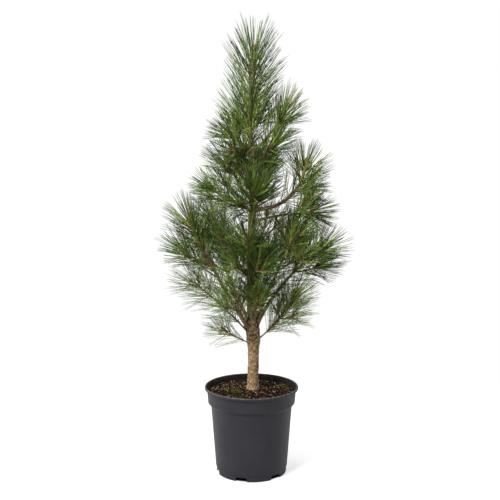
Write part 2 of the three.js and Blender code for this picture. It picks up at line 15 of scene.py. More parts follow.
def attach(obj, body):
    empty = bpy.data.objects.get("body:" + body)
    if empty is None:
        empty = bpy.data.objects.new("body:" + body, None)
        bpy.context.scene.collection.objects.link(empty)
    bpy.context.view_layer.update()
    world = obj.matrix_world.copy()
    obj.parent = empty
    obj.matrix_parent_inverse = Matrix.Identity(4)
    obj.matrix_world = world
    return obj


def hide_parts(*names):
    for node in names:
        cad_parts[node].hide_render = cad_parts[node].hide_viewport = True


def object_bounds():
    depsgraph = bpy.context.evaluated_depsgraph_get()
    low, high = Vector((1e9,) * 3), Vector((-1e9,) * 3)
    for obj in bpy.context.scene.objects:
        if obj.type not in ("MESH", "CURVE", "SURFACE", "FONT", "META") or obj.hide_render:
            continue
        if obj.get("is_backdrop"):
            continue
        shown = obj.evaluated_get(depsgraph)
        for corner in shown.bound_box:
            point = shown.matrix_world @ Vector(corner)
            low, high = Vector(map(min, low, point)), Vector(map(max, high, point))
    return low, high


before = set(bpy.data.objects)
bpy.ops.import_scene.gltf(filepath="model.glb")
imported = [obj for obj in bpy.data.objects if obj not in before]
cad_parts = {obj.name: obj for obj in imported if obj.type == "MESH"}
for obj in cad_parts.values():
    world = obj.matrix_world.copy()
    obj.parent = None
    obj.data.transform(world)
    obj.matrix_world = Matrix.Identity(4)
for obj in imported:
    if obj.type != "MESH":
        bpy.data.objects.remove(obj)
cad_low, cad_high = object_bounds()
box = [round(side, 3) for side in cad_high - cad_low]
print("packed model:", len(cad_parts), "nodes,", box, "m")

# %% [markdown]
# ## Camera
# The picture of the plant was taken from a little above its middle, looking down slightly.
# A camera can be matched by eye, but the pot's lip, step and foot are circles of known size, so
# the camera's height, dip and lens are worked out from how flat each circle looks.

# %% Place the camera
IMAGE_SIZE = 500
FOCAL_PIXELS = 952
CAMERA_PLACE = Vector((-0.0039, -2.4, 0.916))
CAMERA_DIP = math.radians(7.9)
SENSOR_WIDTH = 36

camera_data = bpy.data.cameras.new("camera")
camera_data.sensor_width = SENSOR_WIDTH
camera_data.lens = SENSOR_WIDTH * FOCAL_PIXELS / IMAGE_SIZE
camera = bpy.data.objects.new("camera", camera_data)
camera.location = CAMERA_PLACE
camera.rotation_euler = (math.pi / 2 - CAMERA_DIP, 0, 0)
bpy.context.scene.collection.objects.link(camera)
bpy.context.scene.camera = camera
print("camera lens:", round(camera_data.lens, 1), "mm")

# %% [markdown]
# ## Helpers for meshes
# The plant has about ten thousand needles and thousands of crumbs. Each could be an object, but
# Blender slows down with so many. Each kind of small thing is therefore worked out as arrays of
# points, in millimetres, and joined into one mesh.

# %% Make meshes from points and faces
MM = 0.001


def add_piece(name, points, faces, materials, tones=None, smooth=True):
    """One joined mesh from points in millimetres, lists of faces, and a material for each face."""
    mesh = bpy.data.meshes.new(name)
    mesh.from_pydata((np.asarray(points) * MM).tolist(), [], faces)
    for material in materials:
        mesh.materials.append(material)
    if tones is not None:
        mesh.polygons.foreach_set("material_index", np.asarray(tones, np.int32))
    mesh.polygons.foreach_set("use_smooth", [smooth] * len(mesh.polygons))
    piece = bpy.data.objects.new(name, mesh)
    bpy.context.scene.collection.objects.link(piece)
    triangles = sum(len(face) - 2 for face in faces)
    print(name + ":", len(mesh.polygons), "faces,", triangles, "triangles")
    return piece


def join_parts(parts):
    """Joins (points, faces) pairs into one pair."""
    points, faces, count = [], [], 0
    for part_points, part_faces in parts:
        points.append(part_points)
        faces.extend([[corner + count for corner in face] for face in part_faces])
        count += len(part_points)
    return np.concatenate(points), faces


print("one millimetre is", MM, "of Blender's units")

# %% [markdown]
# ## Helpers for finishes
# Bark, plastic and peat get their looks from shader nodes. The nodes could be placed by hand in
# the editor, but then nobody could read why. These helpers add one node each, with its settings,
# so that every finish below only says what is special about it.

# %% Make materials from nodes
def new_material(name, roughness, gloss=0.15):
    """A material, its node tree and its main shader. Dull things get little gloss."""
    material = bpy.data.materials.new(name)
    material.use_nodes = True
    tree = material.node_tree
    shader = tree.nodes["Principled BSDF"]
    shader.inputs["Roughness"].default_value = roughness
    shader.inputs["Specular IOR Level"].default_value = gloss
    return material, tree, shader


def add_node(tree, kind, **settings):
    """A node of one kind. Each setting goes to the socket or the property of its name."""
    node = tree.nodes.new(kind)
    for key, value in settings.items():
        if key in node.inputs:
            node.inputs[key].default_value = value
        else:
            setattr(node, key, value)
    return node


def add_ramp(tree, source, stops):
    """A colour ramp whose stops are (place, colour), fed by a socket."""
    ramp = tree.nodes.new("ShaderNodeValToRGB")
    elements = ramp.color_ramp.elements
    while len(elements) < len(stops):
        elements.new(0.5)
    for element, (place, colour) in zip(elements, stops):
        element.position = place
        element.color = (*colour, 1)
    tree.links.new(source, ramp.inputs["Fac"])
    return ramp.outputs["Color"]


def add_bump(tree, shader, height, strength, distance):
    """Fine relief from a height socket, with its depth in millimetres."""
    bump = add_node(tree, "ShaderNodeBump", Strength=strength, Distance=distance * MM)
    tree.links.new(height, bump.inputs["Height"])
    tree.links.new(bump.outputs["Normal"], shader.inputs["Normal"])


def object_places(tree):
    """Each point's own place on the piece, so that patterns stay put when it is turned."""
    return add_node(tree, "ShaderNodeTexCoord").outputs["Object"]


print("finish helpers: materials, nodes, colour ramps and bumps")

# %% [markdown]
# ## Patterns and blends
# Real surfaces are never one colour. Image textures would have to be painted and unwrapped,
# while noise and bands of height need neither and have no seams. These helpers make the few
# patterns that the finishes share: clouds, blots, height bands and blends of two colours.

# %% Make patterns and blend colours
def attribute(tree, name):
    """A number that the mesh stores at each of its points."""
    return add_node(tree, "ShaderNodeAttribute", attribute_name=name).outputs["Fac"]


def mix_colours(tree, share, first, second):
    """Blends two colours, each a colour or a socket, by a share socket."""
    mix = add_node(tree, "ShaderNodeMix", data_type="RGBA")
    tree.links.new(share, mix.inputs[0])
    for socket, colour in ((mix.inputs[6], first), (mix.inputs[7], second)):
        if isinstance(colour, tuple):
            socket.default_value = (*colour, 1)
        else:
            tree.links.new(colour, socket)
    return mix.outputs[2]


def noise_texture(tree, size, detail=4, roughness=0.6):
    """Cloudy noise whose features are about this many millimetres wide."""
    texture = add_node(
        tree, "ShaderNodeTexNoise", Scale=1000 / size, Detail=detail, Roughness=roughness
    )
    tree.links.new(object_places(tree), texture.inputs["Vector"])
    return texture.outputs["Fac"]


def height_band(tree, low, high, most=1.0):
    """0 up to one height in millimetres, rising to the most it may be at another."""
    parts = add_node(tree, "ShaderNodeSeparateXYZ")
    tree.links.new(object_places(tree), parts.inputs[0])
    band = add_node(tree, "ShaderNodeMapRange")
    tree.links.new(parts.outputs["Z"], band.inputs["Value"])
    band.inputs["From Min"].default_value = low * MM
    band.inputs["From Max"].default_value = high * MM
    band.inputs["To Max"].default_value = most
    return band.outputs[0]


def multiply(tree, first, second):
    """The product of two sockets."""
    node = add_node(tree, "ShaderNodeMath", operation="MULTIPLY")
    tree.links.new(first, node.inputs[0])
    tree.links.new(second, node.inputs[1])
    return node.outputs[0]


def patches(tree, size, start, end, most=1.0):
    """Blots of about this many millimetres: 0 outside them, and the most inside."""
    band = add_node(tree, "ShaderNodeMapRange")
    tree.links.new(noise_texture(tree, size, 3), band.inputs["Value"])
    for key, value in (("From Min", start), ("From Max", end), ("To Max", most)):
        band.inputs[key].default_value = value
    return band.outputs[0]


print("pattern helpers: clouds, blots, height bands and blends")

# %% [markdown]
# ## The growth rule
# A pine grows in whorls: each year a ring of boughs, each ending in a brush of needles.
# Boughs could be drawn one by one as curves, but a table of angles and lengths is easier to
# read and to correct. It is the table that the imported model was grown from.

# %% Write down the trunk and the boughs
# One row for each height on the trunk: height, sideways drift, drift to the back, radius
TRUNK = np.array(
    [
        [220, 4, 0, 18.5],
        [226, 4, 0, 16.4],
        [236, 4, 0, 15.2],
        [262, 4, 0, 14.5],
        [300, 5, 0, 14.3],
        [330, 5, 0, 15.2],
        [349, 5, 0, 17.8],
        [376, 3, 0, 18.4],
        [404, 1, 0, 15],
        [428, 1, 0, 13],
        [470, 0, 1, 12],
        [531, 0, 2, 11],
        [610, 1, 3, 9.6],
        [685, 3, 4, 8.6],
        [760, 5, 3, 7.2],
        [836, 2, 0, 6.3],
        [868, -2, -1, 5.5],
        [900, -6, -1, 5.2],
        [948, -3, 0, 4.7],
        [1000, 3, 0, 4.2],
        [1050, 4, 0, 3.8],
        [1077, 5, 0, 3.6],
        [1084, 5, 0, 4.4],
    ]
)
# Name, height on the trunk, direction, rise at the trunk, rise at the tip, turn, bare length,
# leafy length, side shoots, roll of the first one, side shoot length, needle length, girth
BOUGHS = [
    ["low_left", 338, 184, 18, 36, 0, 20, 70, 0, 0, 0, 68, 0.3],
    ["low_right", 342, -34, 36, 62, 8, 48, 146, 3, 20, 52, 86, 0.35],
    ["long_left", 352, 200, 51, 38, -10, 54, 176, 0, 0, 0, 84, 0.3],
    ["low_front_left", 364, 234, 46, 66, 0, 44, 112, 2, 60, 46, 80, 0.4],
    ["low_front", 378, 281, 44, 74, 0, 38, 100, 3, 20, 52, 86, 0.7],
    ["big_right", 366, -14, 68, 34, -12, 138, 164, 3, 60, 74, 94, 1],
    ["back_right", 378, 48, 56, 52, 0, 100, 193, 3, 10, 74, 96, 1],
    ["front_middle", 384, 265, 56, 72, 0, 90, 190, 3, 75, 60, 96, 1],
    ["big_left", 362, 193, 57, 66, 2, 130, 212, 1, 265, 84, 98, 1],
    ["back_left", 374, 138, 56, 60, 0, 100, 189, 3, 60, 70, 96, 1],
    ["middle_front_right", 480, -68, 34, 60, 0, 20, 108, 2, 50, 50, 90, 1],
    ["middle_left", 515, 212, 34, 66, 0, 40, 105, 2, 0, 60, 92, 1],
    ["middle_right", 520, -25, 22, 62, 0, 60, 112, 2, 20, 60, 94, 1],
    ["middle_back", 528, 72, 34, 58, 0, 65, 130, 2, 0, 66, 94, 1],
    ["middle_back_right", 535, 22, 30, 58, 0, 60, 118, 2, 0, 60, 94, 1],
    ["middle_back_left", 560, 150, 26, 58, 0, 55, 112, 2, 0, 60, 94, 1],
    ["high_right_low", 655, -16, 18, 2, 0, 90, 64, 1, 60, 40, 84, 1],
    ["high_front", 660, 270, 12, 62, 0, 24, 110, 2, 30, 56, 96, 1],
    ["high_right", 688, -6, -6, 88, 0, 72, 124, 1, 255, 40, 90, 1.5],
    ["high_left", 680, 190, 28, 32, 0, 34, 84, 2, 50, 52, 84, 1],
    ["high_back", 682, 78, 34, 60, 0, 50, 112, 3, 30, 58, 92, 1],
    ["high_front_left", 702, 212, 50, 58, 0, 25, 108, 1, 0, 45, 92, 1],
    ["top_front_right", 802, -48, 16, 52, 0, 20, 62, 1, 0, 42, 90, 1],
    ["top_front_left", 806, 236, 8, 40, 0, 20, 66, 1, 0, 42, 86, 1],
    ["top_left", 828, 186, 34, 50, 0, 22, 48, 1, 0, 34, 84, 1],
    ["top_right", 830, 8, 40, 64, 0, 30, 98, 1, 180, 48, 98, 1],
    ["top_back", 832, 95, 40, 58, 0, 34, 92, 2, 0, 48, 94, 1],
]
# Needles that stand straight on the trunk: name, lowest height, highest height, needle length
SLEEVES = [["trunk_middle", 732, 790, 84], ["leader", 850, 1073, 116]]
print("boughs in the table:", len(BOUGHS), "from", BOUGHS[0][1], "mm up")

# %% [markdown]
# ## Dice and paths
# No two boughs of a tree are alike. Blender's own random numbers would do, but these dice are
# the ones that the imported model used, thrown in the same order, so each limb here runs inside
# its solid there. A path is a row of points that bends a little at every step.

# %% Repeat the dice and the paths
UP = np.array([0.0, 0.0, 1.0])
NEARLY_UPRIGHT = 0.04


def make_dice(seed):
    """Repeatable dice: each throw gives a number between two others."""
    state = [seed]

    def throw(low, high):
        """The next number of the row, between low and high."""
        state[0] = (state[0] * 1664525 + 1013904223) % 4294967296
        return low + (high - low) * state[0] / 4294967296

    return throw


def unit(vector):
    """The same way to go, one millimetre long."""
    return vector / np.linalg.norm(vector)


def direction(azimuth, rise):
    """A way to go: azimuth round the trunk and rise above the level, in degrees."""
    around, up = math.radians(azimuth), math.radians(rise)
    level = math.cos(up)
    return np.array([level * math.cos(around), level * math.sin(around), math.sin(up)])


def cross_axes(along):
    """Two axes across a direction: one level, one pointing upwards."""
    level = np.cross(UP, along)
    if np.linalg.norm(level) < NEARLY_UPRIGHT:
        level = np.array([1.0, 0.0, 0.0])
    upward = unit(np.cross(along, unit(level)))
    return unit(np.cross(upward, along)), upward


def grow_path(start, azimuth, rise_start, rise_end, turn, length, steps):
    """Points of a limb that changes its rise and its direction evenly along its length."""
    points = [np.array(start, float)]
    for i in range(steps):
        part = (i + 0.5) / steps
        rise = rise_start + (rise_end - rise_start) * part
        points.append(points[-1] + direction(azimuth + turn * part, rise) * length / steps)
    return np.array(points)


def point_along(path, part):
    """The point at a part of a path, from 0 at its start to 1 at its end."""
    place = min(max(part, 0), 1) * (len(path) - 1)
    index = min(int(place), len(path) - 2)
    return path[index] + (path[index + 1] - path[index]) * (place - index)


def trunk_at(height):
    """The middle of the trunk at a height, and its radius there."""
    columns = [np.interp(height, TRUNK[:, 0], TRUNK[:, k]) for k in (1, 2, 3)]
    return np.array([columns[0], columns[1], height]), columns[2]


foot_radius, collar_radius = trunk_at(220)[1], trunk_at(376)[1]
print("trunk radius at the soil:", foot_radius, "mm, at the collar:", collar_radius, "mm")

# %% [markdown]
# ## Distances between limbs
# Limbs of a tree never pass through each other, and neither do a needle and a bough. Blender can
# test meshes for touching, but that is slow for thousands of needles. Here each limb is a row of
# straight pieces, and the distances between many pieces are worked out at once.

# %% Measure how far apart straight pieces are
def pieces_apart(starts, ends, other_starts, other_ends):
    """The least distance between straight pieces, for each of some with each of others."""
    u = (ends - starts)[:, None]
    v = (other_ends - other_starts)[None]
    w = starts[:, None] - other_starts[None]
    uu, uv, vv = (u * u).sum(-1), (u * v).sum(-1), (v * v).sum(-1)
    uw, vw = (u * w).sum(-1), (v * w).sum(-1)
    spread = uu * vv - uv * uv
    s = np.where(spread > 1e-6, np.clip((uv * vw - vv * uw) / np.maximum(spread, 1e-6), 0, 1), 0)
    t = np.clip((uv * s + vw) / vv, 0, 1)
    s = np.clip((uv * t - uw) / uu, 0, 1)
    t = np.clip((uv * s + vw) / vv, 0, 1)
    return np.linalg.norm(w + u * s[..., None] - v * t[..., None], axis=-1), s


def segments(points, radii):
    """The straight pieces of a path: starts, ends and the larger radius of each."""
    return points[:-1], points[1:], np.maximum(radii[:-1], radii[1:])


trunk_pieces = segments(TRUNK[:, [1, 2, 0]], TRUNK[:, 3])
print("straight pieces in the trunk:", len(trunk_pieces[0]))

# %% [markdown]
# ## Boughs and side shoots
# A bough is a bare limb, then a leafy stem with a ring of side shoots that leave it at one fork
# and turn upwards to the light. Modelling them as meshes at once would tie their shape to their
# bark. So first only their paths and radii are grown, and the skins come later.

# %% Grow every bough and its side shoots
SHOOT_TIP_RADIUS = 2.1
SHOOT_TAPER = 0.0125
LIMB_STEPS = 4
PATH_STEPS = 12
STEP_LENGTH = 10
SIDE_SHOOT_FORK = 0.38
SIDE_SHOOT_SPREAD = 44
SIDE_SHOOT_LIFT = 0.34
SIDE_SHOOT_WANDER = 14
SIDE_SHOOT_LENGTHS = (0.88, 1.12)
SIDE_SHOOT_FOOT = 1.12
SIDE_NEEDLE_SHARE = 0.86
BUD_LENGTH = 9
FIRST_SEED = 1000
SEED_STEP = 37
LOOK_AHEAD = 5


def make_shoot(points, radii, needle_length, mass, rank):
    """What later steps need to know of a shoot. Its axis is a coarse one, to keep others off."""
    coarse = [point_along(points, part) for part in (0, 1 / 3, 2 / 3, 1)]
    if rank != "trunk":
        coarse.append(points[-1] + unit(points[-1] - points[-2]) * BUD_LENGTH)
    axis = segments(np.array(coarse), np.full(len(coarse), radii[0]))
    shoot = {"points": points, "radii": radii, "needle": needle_length}
    return {**shoot, "axis": axis, "mass": mass, "rank": rank}


def grow_bough(row, order):
    """One bough of the table: its path, its bare limb, its leafy stem and its side shoots."""
    name, height, azimuth, rise_start, rise_end, turn = row[:6]
    bare, leafy, side_count, roll, side_length, needle_length, girth = row[6:]
    throw = make_dice(FIRST_SEED + SEED_STEP * order)
    total = bare + leafy
    path = grow_path(trunk_at(height)[0], azimuth, rise_start, rise_end, turn, total, PATH_STEPS)

    def part_of_limb(start, end, steps):
        """Points and radii of the limb between two distances from the trunk's middle."""
        distances = np.linspace(start, end, steps + 1)
        points = np.array([point_along(path, distance / total) for distance in distances])
        return points, SHOOT_TIP_RADIUS + SHOOT_TAPER * girth * (total - distances)

    limb = part_of_limb(0, bare, LIMB_STEPS)
    stem = part_of_limb(bare, total, round(leafy / STEP_LENGTH))
    shoots = [make_shoot(*stem, needle_length, name, "stem")]
    fork_at = bare + leafy * SIDE_SHOOT_FORK
    fork = point_along(path, fork_at / total)
    along = unit(point_along(path, (fork_at + LOOK_AHEAD) / total) - fork)
    level, upward = cross_axes(along)
    spread = math.radians(SIDE_SHOOT_SPREAD)
    for k in range(side_count):
        wander = throw(-SIDE_SHOOT_WANDER, SIDE_SHOOT_WANDER)
        angle = math.radians(roll + 360 * k / side_count + wander)
        across = level * math.cos(angle) + upward * math.sin(angle)
        outward = unit(along * math.cos(spread) + across * math.sin(spread))
        rise = math.degrees(math.asin(outward[2]))
        heading = math.degrees(math.atan2(outward[1], outward[0]))
        length = side_length * throw(*SIDE_SHOOT_LENGTHS)
        steps = round(length / STEP_LENGTH)
        rise_at_end = rise + (90 - rise) * SIDE_SHOOT_LIFT
        points = grow_path(fork, heading, rise, rise_at_end, 0, length, steps)
        radii = SHOOT_TIP_RADIUS * np.linspace(SIDE_SHOOT_FOOT, 1, steps + 1)
        shoots.append(make_shoot(points, radii, needle_length * SIDE_NEEDLE_SHARE, name, "side"))
    return {"name": name, "height": height, "path": path, "limb": limb, "shoots": shoots}


boughs = [grow_bough(row, order) for order, row in enumerate(BOUGHS)]
longest = max(row[6] + row[7] for row in BOUGHS)
print("boughs:", len(boughs), "the longest", longest, "mm")

# %% [markdown]
# ## Which shoots have room
# Where two boughs come close, the tree lets one side shoot die back. Pushing shoots apart would
# bend them oddly, so a side shoot that would touch a limb or another bough's shoot isn't grown.

# %% Keep the shoots that have room
TWIG_GAP = 1.5


def sleeve_shoot(name, low, high, needle_length):
    """The trunk between two heights, as a shoot that carries needles of its own."""
    heights = np.linspace(low, high, round((high - low) / STEP_LENGTH) + 1)
    points = np.array([trunk_at(height)[0] for height in heights])
    radii = np.array([trunk_at(height)[1] for height in heights])
    return make_shoot(points, radii, needle_length, name, "trunk")


sleeves = [sleeve_shoot(*row) for row in SLEEVES]
bough_pieces = [segments(*bough["limb"]) for bough in boughs]
limb_starts, limb_ends, limb_radii = (
    np.concatenate(columns) for columns in zip(trunk_pieces, *bough_pieces)
)


def is_clear(shoot, others):
    """Whether a side shoot stays clear of every limb and of all other boughs' shoots."""
    starts, ends, radii = segments(shoot["points"], shoot["radii"])
    rivals = [other["axis"] for other in others if other["mass"] != shoot["mass"]]
    columns = zip(*rivals, (limb_starts, limb_ends, limb_radii))
    rival_starts, rival_ends, rival_radii = (np.concatenate(column) for column in columns)
    apart, _ = pieces_apart(starts, ends, rival_starts, rival_ends)
    return bool((apart >= radii[:, None] + rival_radii[None] + TWIG_GAP).all())


shoots = [bough["shoots"][0] for bough in boughs] + sleeves
for bough in boughs:
    for shoot in bough["shoots"][1:]:
        if is_clear(shoot, shoots):
            shoots.append(shoot)
print("shoots that carry needles:", len(shoots))

# %% [markdown]
# ## Finer twigs
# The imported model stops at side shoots. On the plant each shoot also ends in a bunch of short
# twigs, which make the tufts thick. They could be placed by hand, but growing them by one more
# step of the same rule keeps them inside the reach of the shoot that carries them.

# %% Grow short twigs near the end of each shoot
TWIGLET_PLACES = {"stem": (0.6, 0.82), "side": (0.62,), "trunk": ()}
TWIGLET_SEED = 505
TWIGLET_LENGTH = 30
TWIGLET_LENGTHS = (0.7, 1.1)
TWIGLET_SPREAD = 34
TWIGLET_WANDER = 6
TWIGLET_LIFT = 0.08
TWIGLET_TAPER = np.array([0.85, 0.8, 0.75])
TWIGLET_LOOK_AHEAD = 0.05
# Twigs that leave nearer to the tip are shorter: share of the length there, and its loss
TWIGLET_REACH = 1.2
TWIGLET_REACH_LOSS = 0.4
TWIGLET_NEEDLE_SHARE = 0.84


def grow_twiglets(shoot, throw):
    """Pairs of short twigs that leave a shoot near its tip."""
    made = []
    points = shoot["points"]
    for place in TWIGLET_PLACES[shoot["rank"]]:
        fork = point_along(points, place)
        along = unit(point_along(points, place + TWIGLET_LOOK_AHEAD) - fork)
        reach = TWIGLET_REACH - place * TWIGLET_REACH_LOSS
        level, upward = cross_axes(along)
        turn = throw(0, 180)
        for side in (0, 180):
            angle = math.radians(turn + side)
            wander = throw(-TWIGLET_WANDER, TWIGLET_WANDER)
            spread = math.radians(TWIGLET_SPREAD + wander)
            across = level * math.cos(angle) + upward * math.sin(angle)
            outward = unit(along * math.cos(spread) + across * math.sin(spread))
            length = TWIGLET_LENGTH * throw(*TWIGLET_LENGTHS) * reach
            ends = np.array([fork + outward * length * part for part in (0, 0.5, 1)])
            ends[2] += UP * length * TWIGLET_LIFT
            needle = shoot["needle"] * TWIGLET_NEEDLE_SHARE
            radii = SHOOT_TIP_RADIUS * TWIGLET_TAPER
            made.append(make_shoot(ends, radii, needle, shoot["mass"], "twiglet"))
    return made


twig_dice = make_dice(TWIGLET_SEED)
twiglets = [twiglet for shoot in shoots for twiglet in grow_twiglets(shoot, twig_dice)]
print("short twigs:", len(twiglets))

# %% [markdown]
# ## Tubes along paths
# Limbs, twigs and buds are all round and tapered. A curve with a bevel would make such a tube,
# but its rings can't be counted on, so the tubes are built ring by ring along a smoothed path.

# %% Build tubes along paths
def smooth_path(points, radii, spacing):
    """A rounder path through the same points, with its radii, at an even spacing."""
    lengths = np.linalg.norm(np.diff(points, axis=0), axis=1)
    at = np.concatenate([[0], np.cumsum(lengths)])
    ends = [2 * points[0] - points[1], *points, 2 * points[-1] - points[-2]]
    count = max(int(at[-1] / spacing), 2)
    made = []
    for distance in np.linspace(0, at[-1], count + 1):
        index = min(int(np.searchsorted(at, distance, "right")) - 1, len(lengths) - 1)
        t = (distance - at[index]) / lengths[index]
        a, b, c, d = ends[index : index + 4]
        bend = (2 * a - 5 * b + 4 * c - d) * t**2 + (3 * b - a - 3 * c + d) * t**3
        made.append(0.5 * (2 * b + (c - a) * t + bend))
    return np.array(made), np.interp(np.linspace(0, at[-1], count + 1), at, radii)


def tube(points, radii, sides, upright=False):
    """A closed tube along a path: its points and faces."""
    rings = []
    angles = 2 * np.pi * np.arange(sides) / sides
    for i, (point, radius) in enumerate(zip(points, radii)):
        along = UP if upright else points[min(i + 1, len(points) - 1)] - points[max(i - 1, 0)]
        level, upward = cross_axes(unit(along))
        ring = np.outer(np.cos(angles), level) + np.outer(np.sin(angles), upward)
        rings.append(point + ring * radius)
    faces = []
    for i in range(len(points) - 1):
        for k in range(sides):
            n = (k + 1) % sides
            faces.append([i * sides + k, i * sides + n, (i + 1) * sides + n, (i + 1) * sides + k])
    faces.append(list(range(sides))[::-1])
    faces.append([(len(points) - 1) * sides + k for k in range(sides)])
    return np.concatenate(rings), faces


print("corners of a plain square tube:", len(tube(np.array([UP, 2 * UP]), [1, 1], 4)[0]))

# %% [markdown]
# ## Skin of the trunk and boughs
# On the plant the boughs grow out of the trunk without a seam, with a small swelling at each
# foot. Tubes pushed into each other would show hard creases, and joining them by hand is slow.
# A voxel remesh fuses the tubes into one skin, and a light smoothing rounds the joints.

# %% Fuse trunk and boughs into one skin
TRUNK_FOOT = 216
TRUNK_SIDES = 40
TRUNK_SPACING = 5
BOUGH_SIDES = 16
BOUGH_SPACING = 3
VOXEL = 1.25
FUSE_SMOOTHING = 4
FUSE_STRENGTH = 0.5
SMOOTHING_LOSS = 0.25
COLLAR_SWELL = 0.55
COLLAR_REACH = 9
# The shaded lowest boughs are thinner than their solids: share of the radius
THIN_LIMBS = {"low_left": 0.68, "long_left": 0.75, "low_front_left": 0.75, "low_right": 0.7}


def evaluated_mesh(piece, name):
    """The mesh of a piece with its modifiers worked in."""
    graph = bpy.context.evaluated_depsgraph_get()
    mesh = bpy.data.meshes.new_from_object(piece.evaluated_get(graph))
    mesh.name = name
    return mesh


trunk_points = TRUNK[:, [1, 2, 0]].copy()
trunk_points[0, 2] = TRUNK_FOOT
trunk_path = smooth_path(trunk_points, TRUNK[:, 3] + SMOOTHING_LOSS, TRUNK_SPACING)
tubes = [tube(*trunk_path, TRUNK_SIDES, upright=True)]
for bough in boughs:
    points, radii = smooth_path(*bough["limb"], BOUGH_SPACING)
    radii = radii * THIN_LIMBS.get(bough["name"], 1)
    away = np.linalg.norm(points - points[0], axis=1) - trunk_at(bough["height"])[1]
    swell = 1 + COLLAR_SWELL * np.exp(-np.maximum(away, 0) / COLLAR_REACH)
    tubes.append(tube(points, (radii + SMOOTHING_LOSS) * swell, BOUGH_SIDES))
rough = add_piece("rough_limbs", *join_parts(tubes), [])
remesh = rough.modifiers.new("fuse", "REMESH")
remesh.mode = "VOXEL"
remesh.voxel_size = VOXEL * MM
relax = rough.modifiers.new("relax", "SMOOTH")
relax.factor = FUSE_STRENGTH
relax.iterations = FUSE_SMOOTHING
limb_mesh = evaluated_mesh(rough, "bark")
bpy.data.objects.remove(rough)
print("fused limbs:", len(limb_mesh.vertices), "points")

# %% [markdown]
# ## Bark scales
# A young pine's trunk is covered in small upright scales with cracks between them, and its
# boughs in fine knobs. A bump texture would look flat at the edge, so each point of the skin is
# moved in or out by a cell pattern. How deep it lies and how old its limb is are stored for the
# finish.

# %% Lift the bark scales
SCALE_WIDTH = 5.2
SCALE_HEIGHT = 7.6
SCALE_DEPTH = 1.3
KNOB_WIDTH = 3.4
KNOB_HEIGHT = KNOB_WIDTH * 1.6
KNOB_DEPTH = 0.5
CRACK_WIDTH = 0.46
WAVE_SIZE = 22
WAVE_DEPTH = 0.7
PATCH_SIZE = 9
PATCH_MIDDLE = 0.65
PATCH_SWING = 0.35
# Old bark reaches this far out from the trunk's radius, and then fades out along each bough
TRUNK_SKIN = 1
BOUGH_FADE = 6
# A trunk this thin is young, and it is old once it is thicker by the ageing radius
YOUNG_RADIUS = 4
AGEING_RADIUS = 10


def crack_depth(place, width, height):
    """0 on top of a bark scale, 1 in the crack between two scales."""
    spot = Vector((place[0] / width, place[1] / width, place[2] / height))
    near, second = noise.voronoi(spot)[0][:2]
    return max(0.0, 1 - (second - near) / CRACK_WIDTH)


count = len(limb_mesh.vertices)
places = np.empty(count * 3, np.float32)
normals = np.empty(count * 3, np.float32)
limb_mesh.vertices.foreach_get("co", places)
limb_mesh.vertices.foreach_get("normal", normals)
places, normals = places.reshape(-1, 3) / MM, normals.reshape(-1, 3)
drift_x, drift_y, trunk_radius = (
    np.interp(places[:, 2], TRUNK[:, 0], TRUNK[:, k]) for k in (1, 2, 3)
)
from_axis = np.hypot(places[:, 0] - drift_x, places[:, 1] - drift_y)
on_trunk = np.clip(1 - (from_axis - trunk_radius - TRUNK_SKIN) / BOUGH_FADE, 0, 1)
age = on_trunk * np.clip((trunk_radius - YOUNG_RADIUS) / AGEING_RADIUS, 0, 1)
cracks = np.empty(count)
lift = np.empty(count)
for i, place in enumerate(places):
    old = age[i]
    spot = Vector(place)
    scale_crack = crack_depth(place, SCALE_WIDTH, SCALE_HEIGHT)
    knob_crack = crack_depth(place, KNOB_WIDTH, KNOB_HEIGHT)
    wave = noise.noise(spot / WAVE_SIZE) * WAVE_DEPTH
    patchy = PATCH_MIDDLE + PATCH_SWING * noise.noise(spot / PATCH_SIZE)
    cracks[i] = (scale_crack * old + knob_crack * (1 - old)) * patchy
    lift[i] = wave * old - scale_crack * patchy * SCALE_DEPTH * old
    lift[i] -= knob_crack * KNOB_DEPTH * (1 - old)
places += normals * lift[:, None]
limb_mesh.vertices.foreach_set("co", (places * MM).astype(np.float32).ravel())
for name, values in (("crack", cracks), ("age", age)):
    limb_mesh.attributes.new(name, "FLOAT", "POINT").data.foreach_set("value", values)
limb_mesh.polygons.foreach_set("use_smooth", [True] * len(limb_mesh.polygons))
bark = bpy.data.objects.new("bark", limb_mesh)
bpy.context.scene.collection.objects.link(bark)
print("bark relief from", round(lift.min(), 2), "to", round(lift.max(), 2), "mm")

# %% [markdown]
# ## Bark finish
# Old bark is pinkish tan with rusty blots, dark flecks and near-black cracks. The collar where
# the lowest boughs leave is greener, and from there up the trunk has dark blots of painted shade
# for the gaps between its stems. Painted shade also darkens the trunk higher up, under the crown.
# Young boughs are light brown, but the lowest ones get painted shade, nearly black. Painting
# this would need an image. The relief step stored each point's depth and age, so the colours
# follow the shape.

# %% Colour the bark
RUST = (0.23, 0.10, 0.042)
DARK_FLECK = (0.045, 0.028, 0.014)
SHADED_LIMB = (0.045, 0.036, 0.016)
COLLAR_GREEN = (0.22, 0.19, 0.075)
# Painted shade for the gaps between the stems at the collar
COLLAR_PAINTED_SHADE = (0.05, 0.032, 0.014)
SHADED_TRUNK = (0.05, 0.042, 0.02)
CRACK = (0.022, 0.015, 0.008)


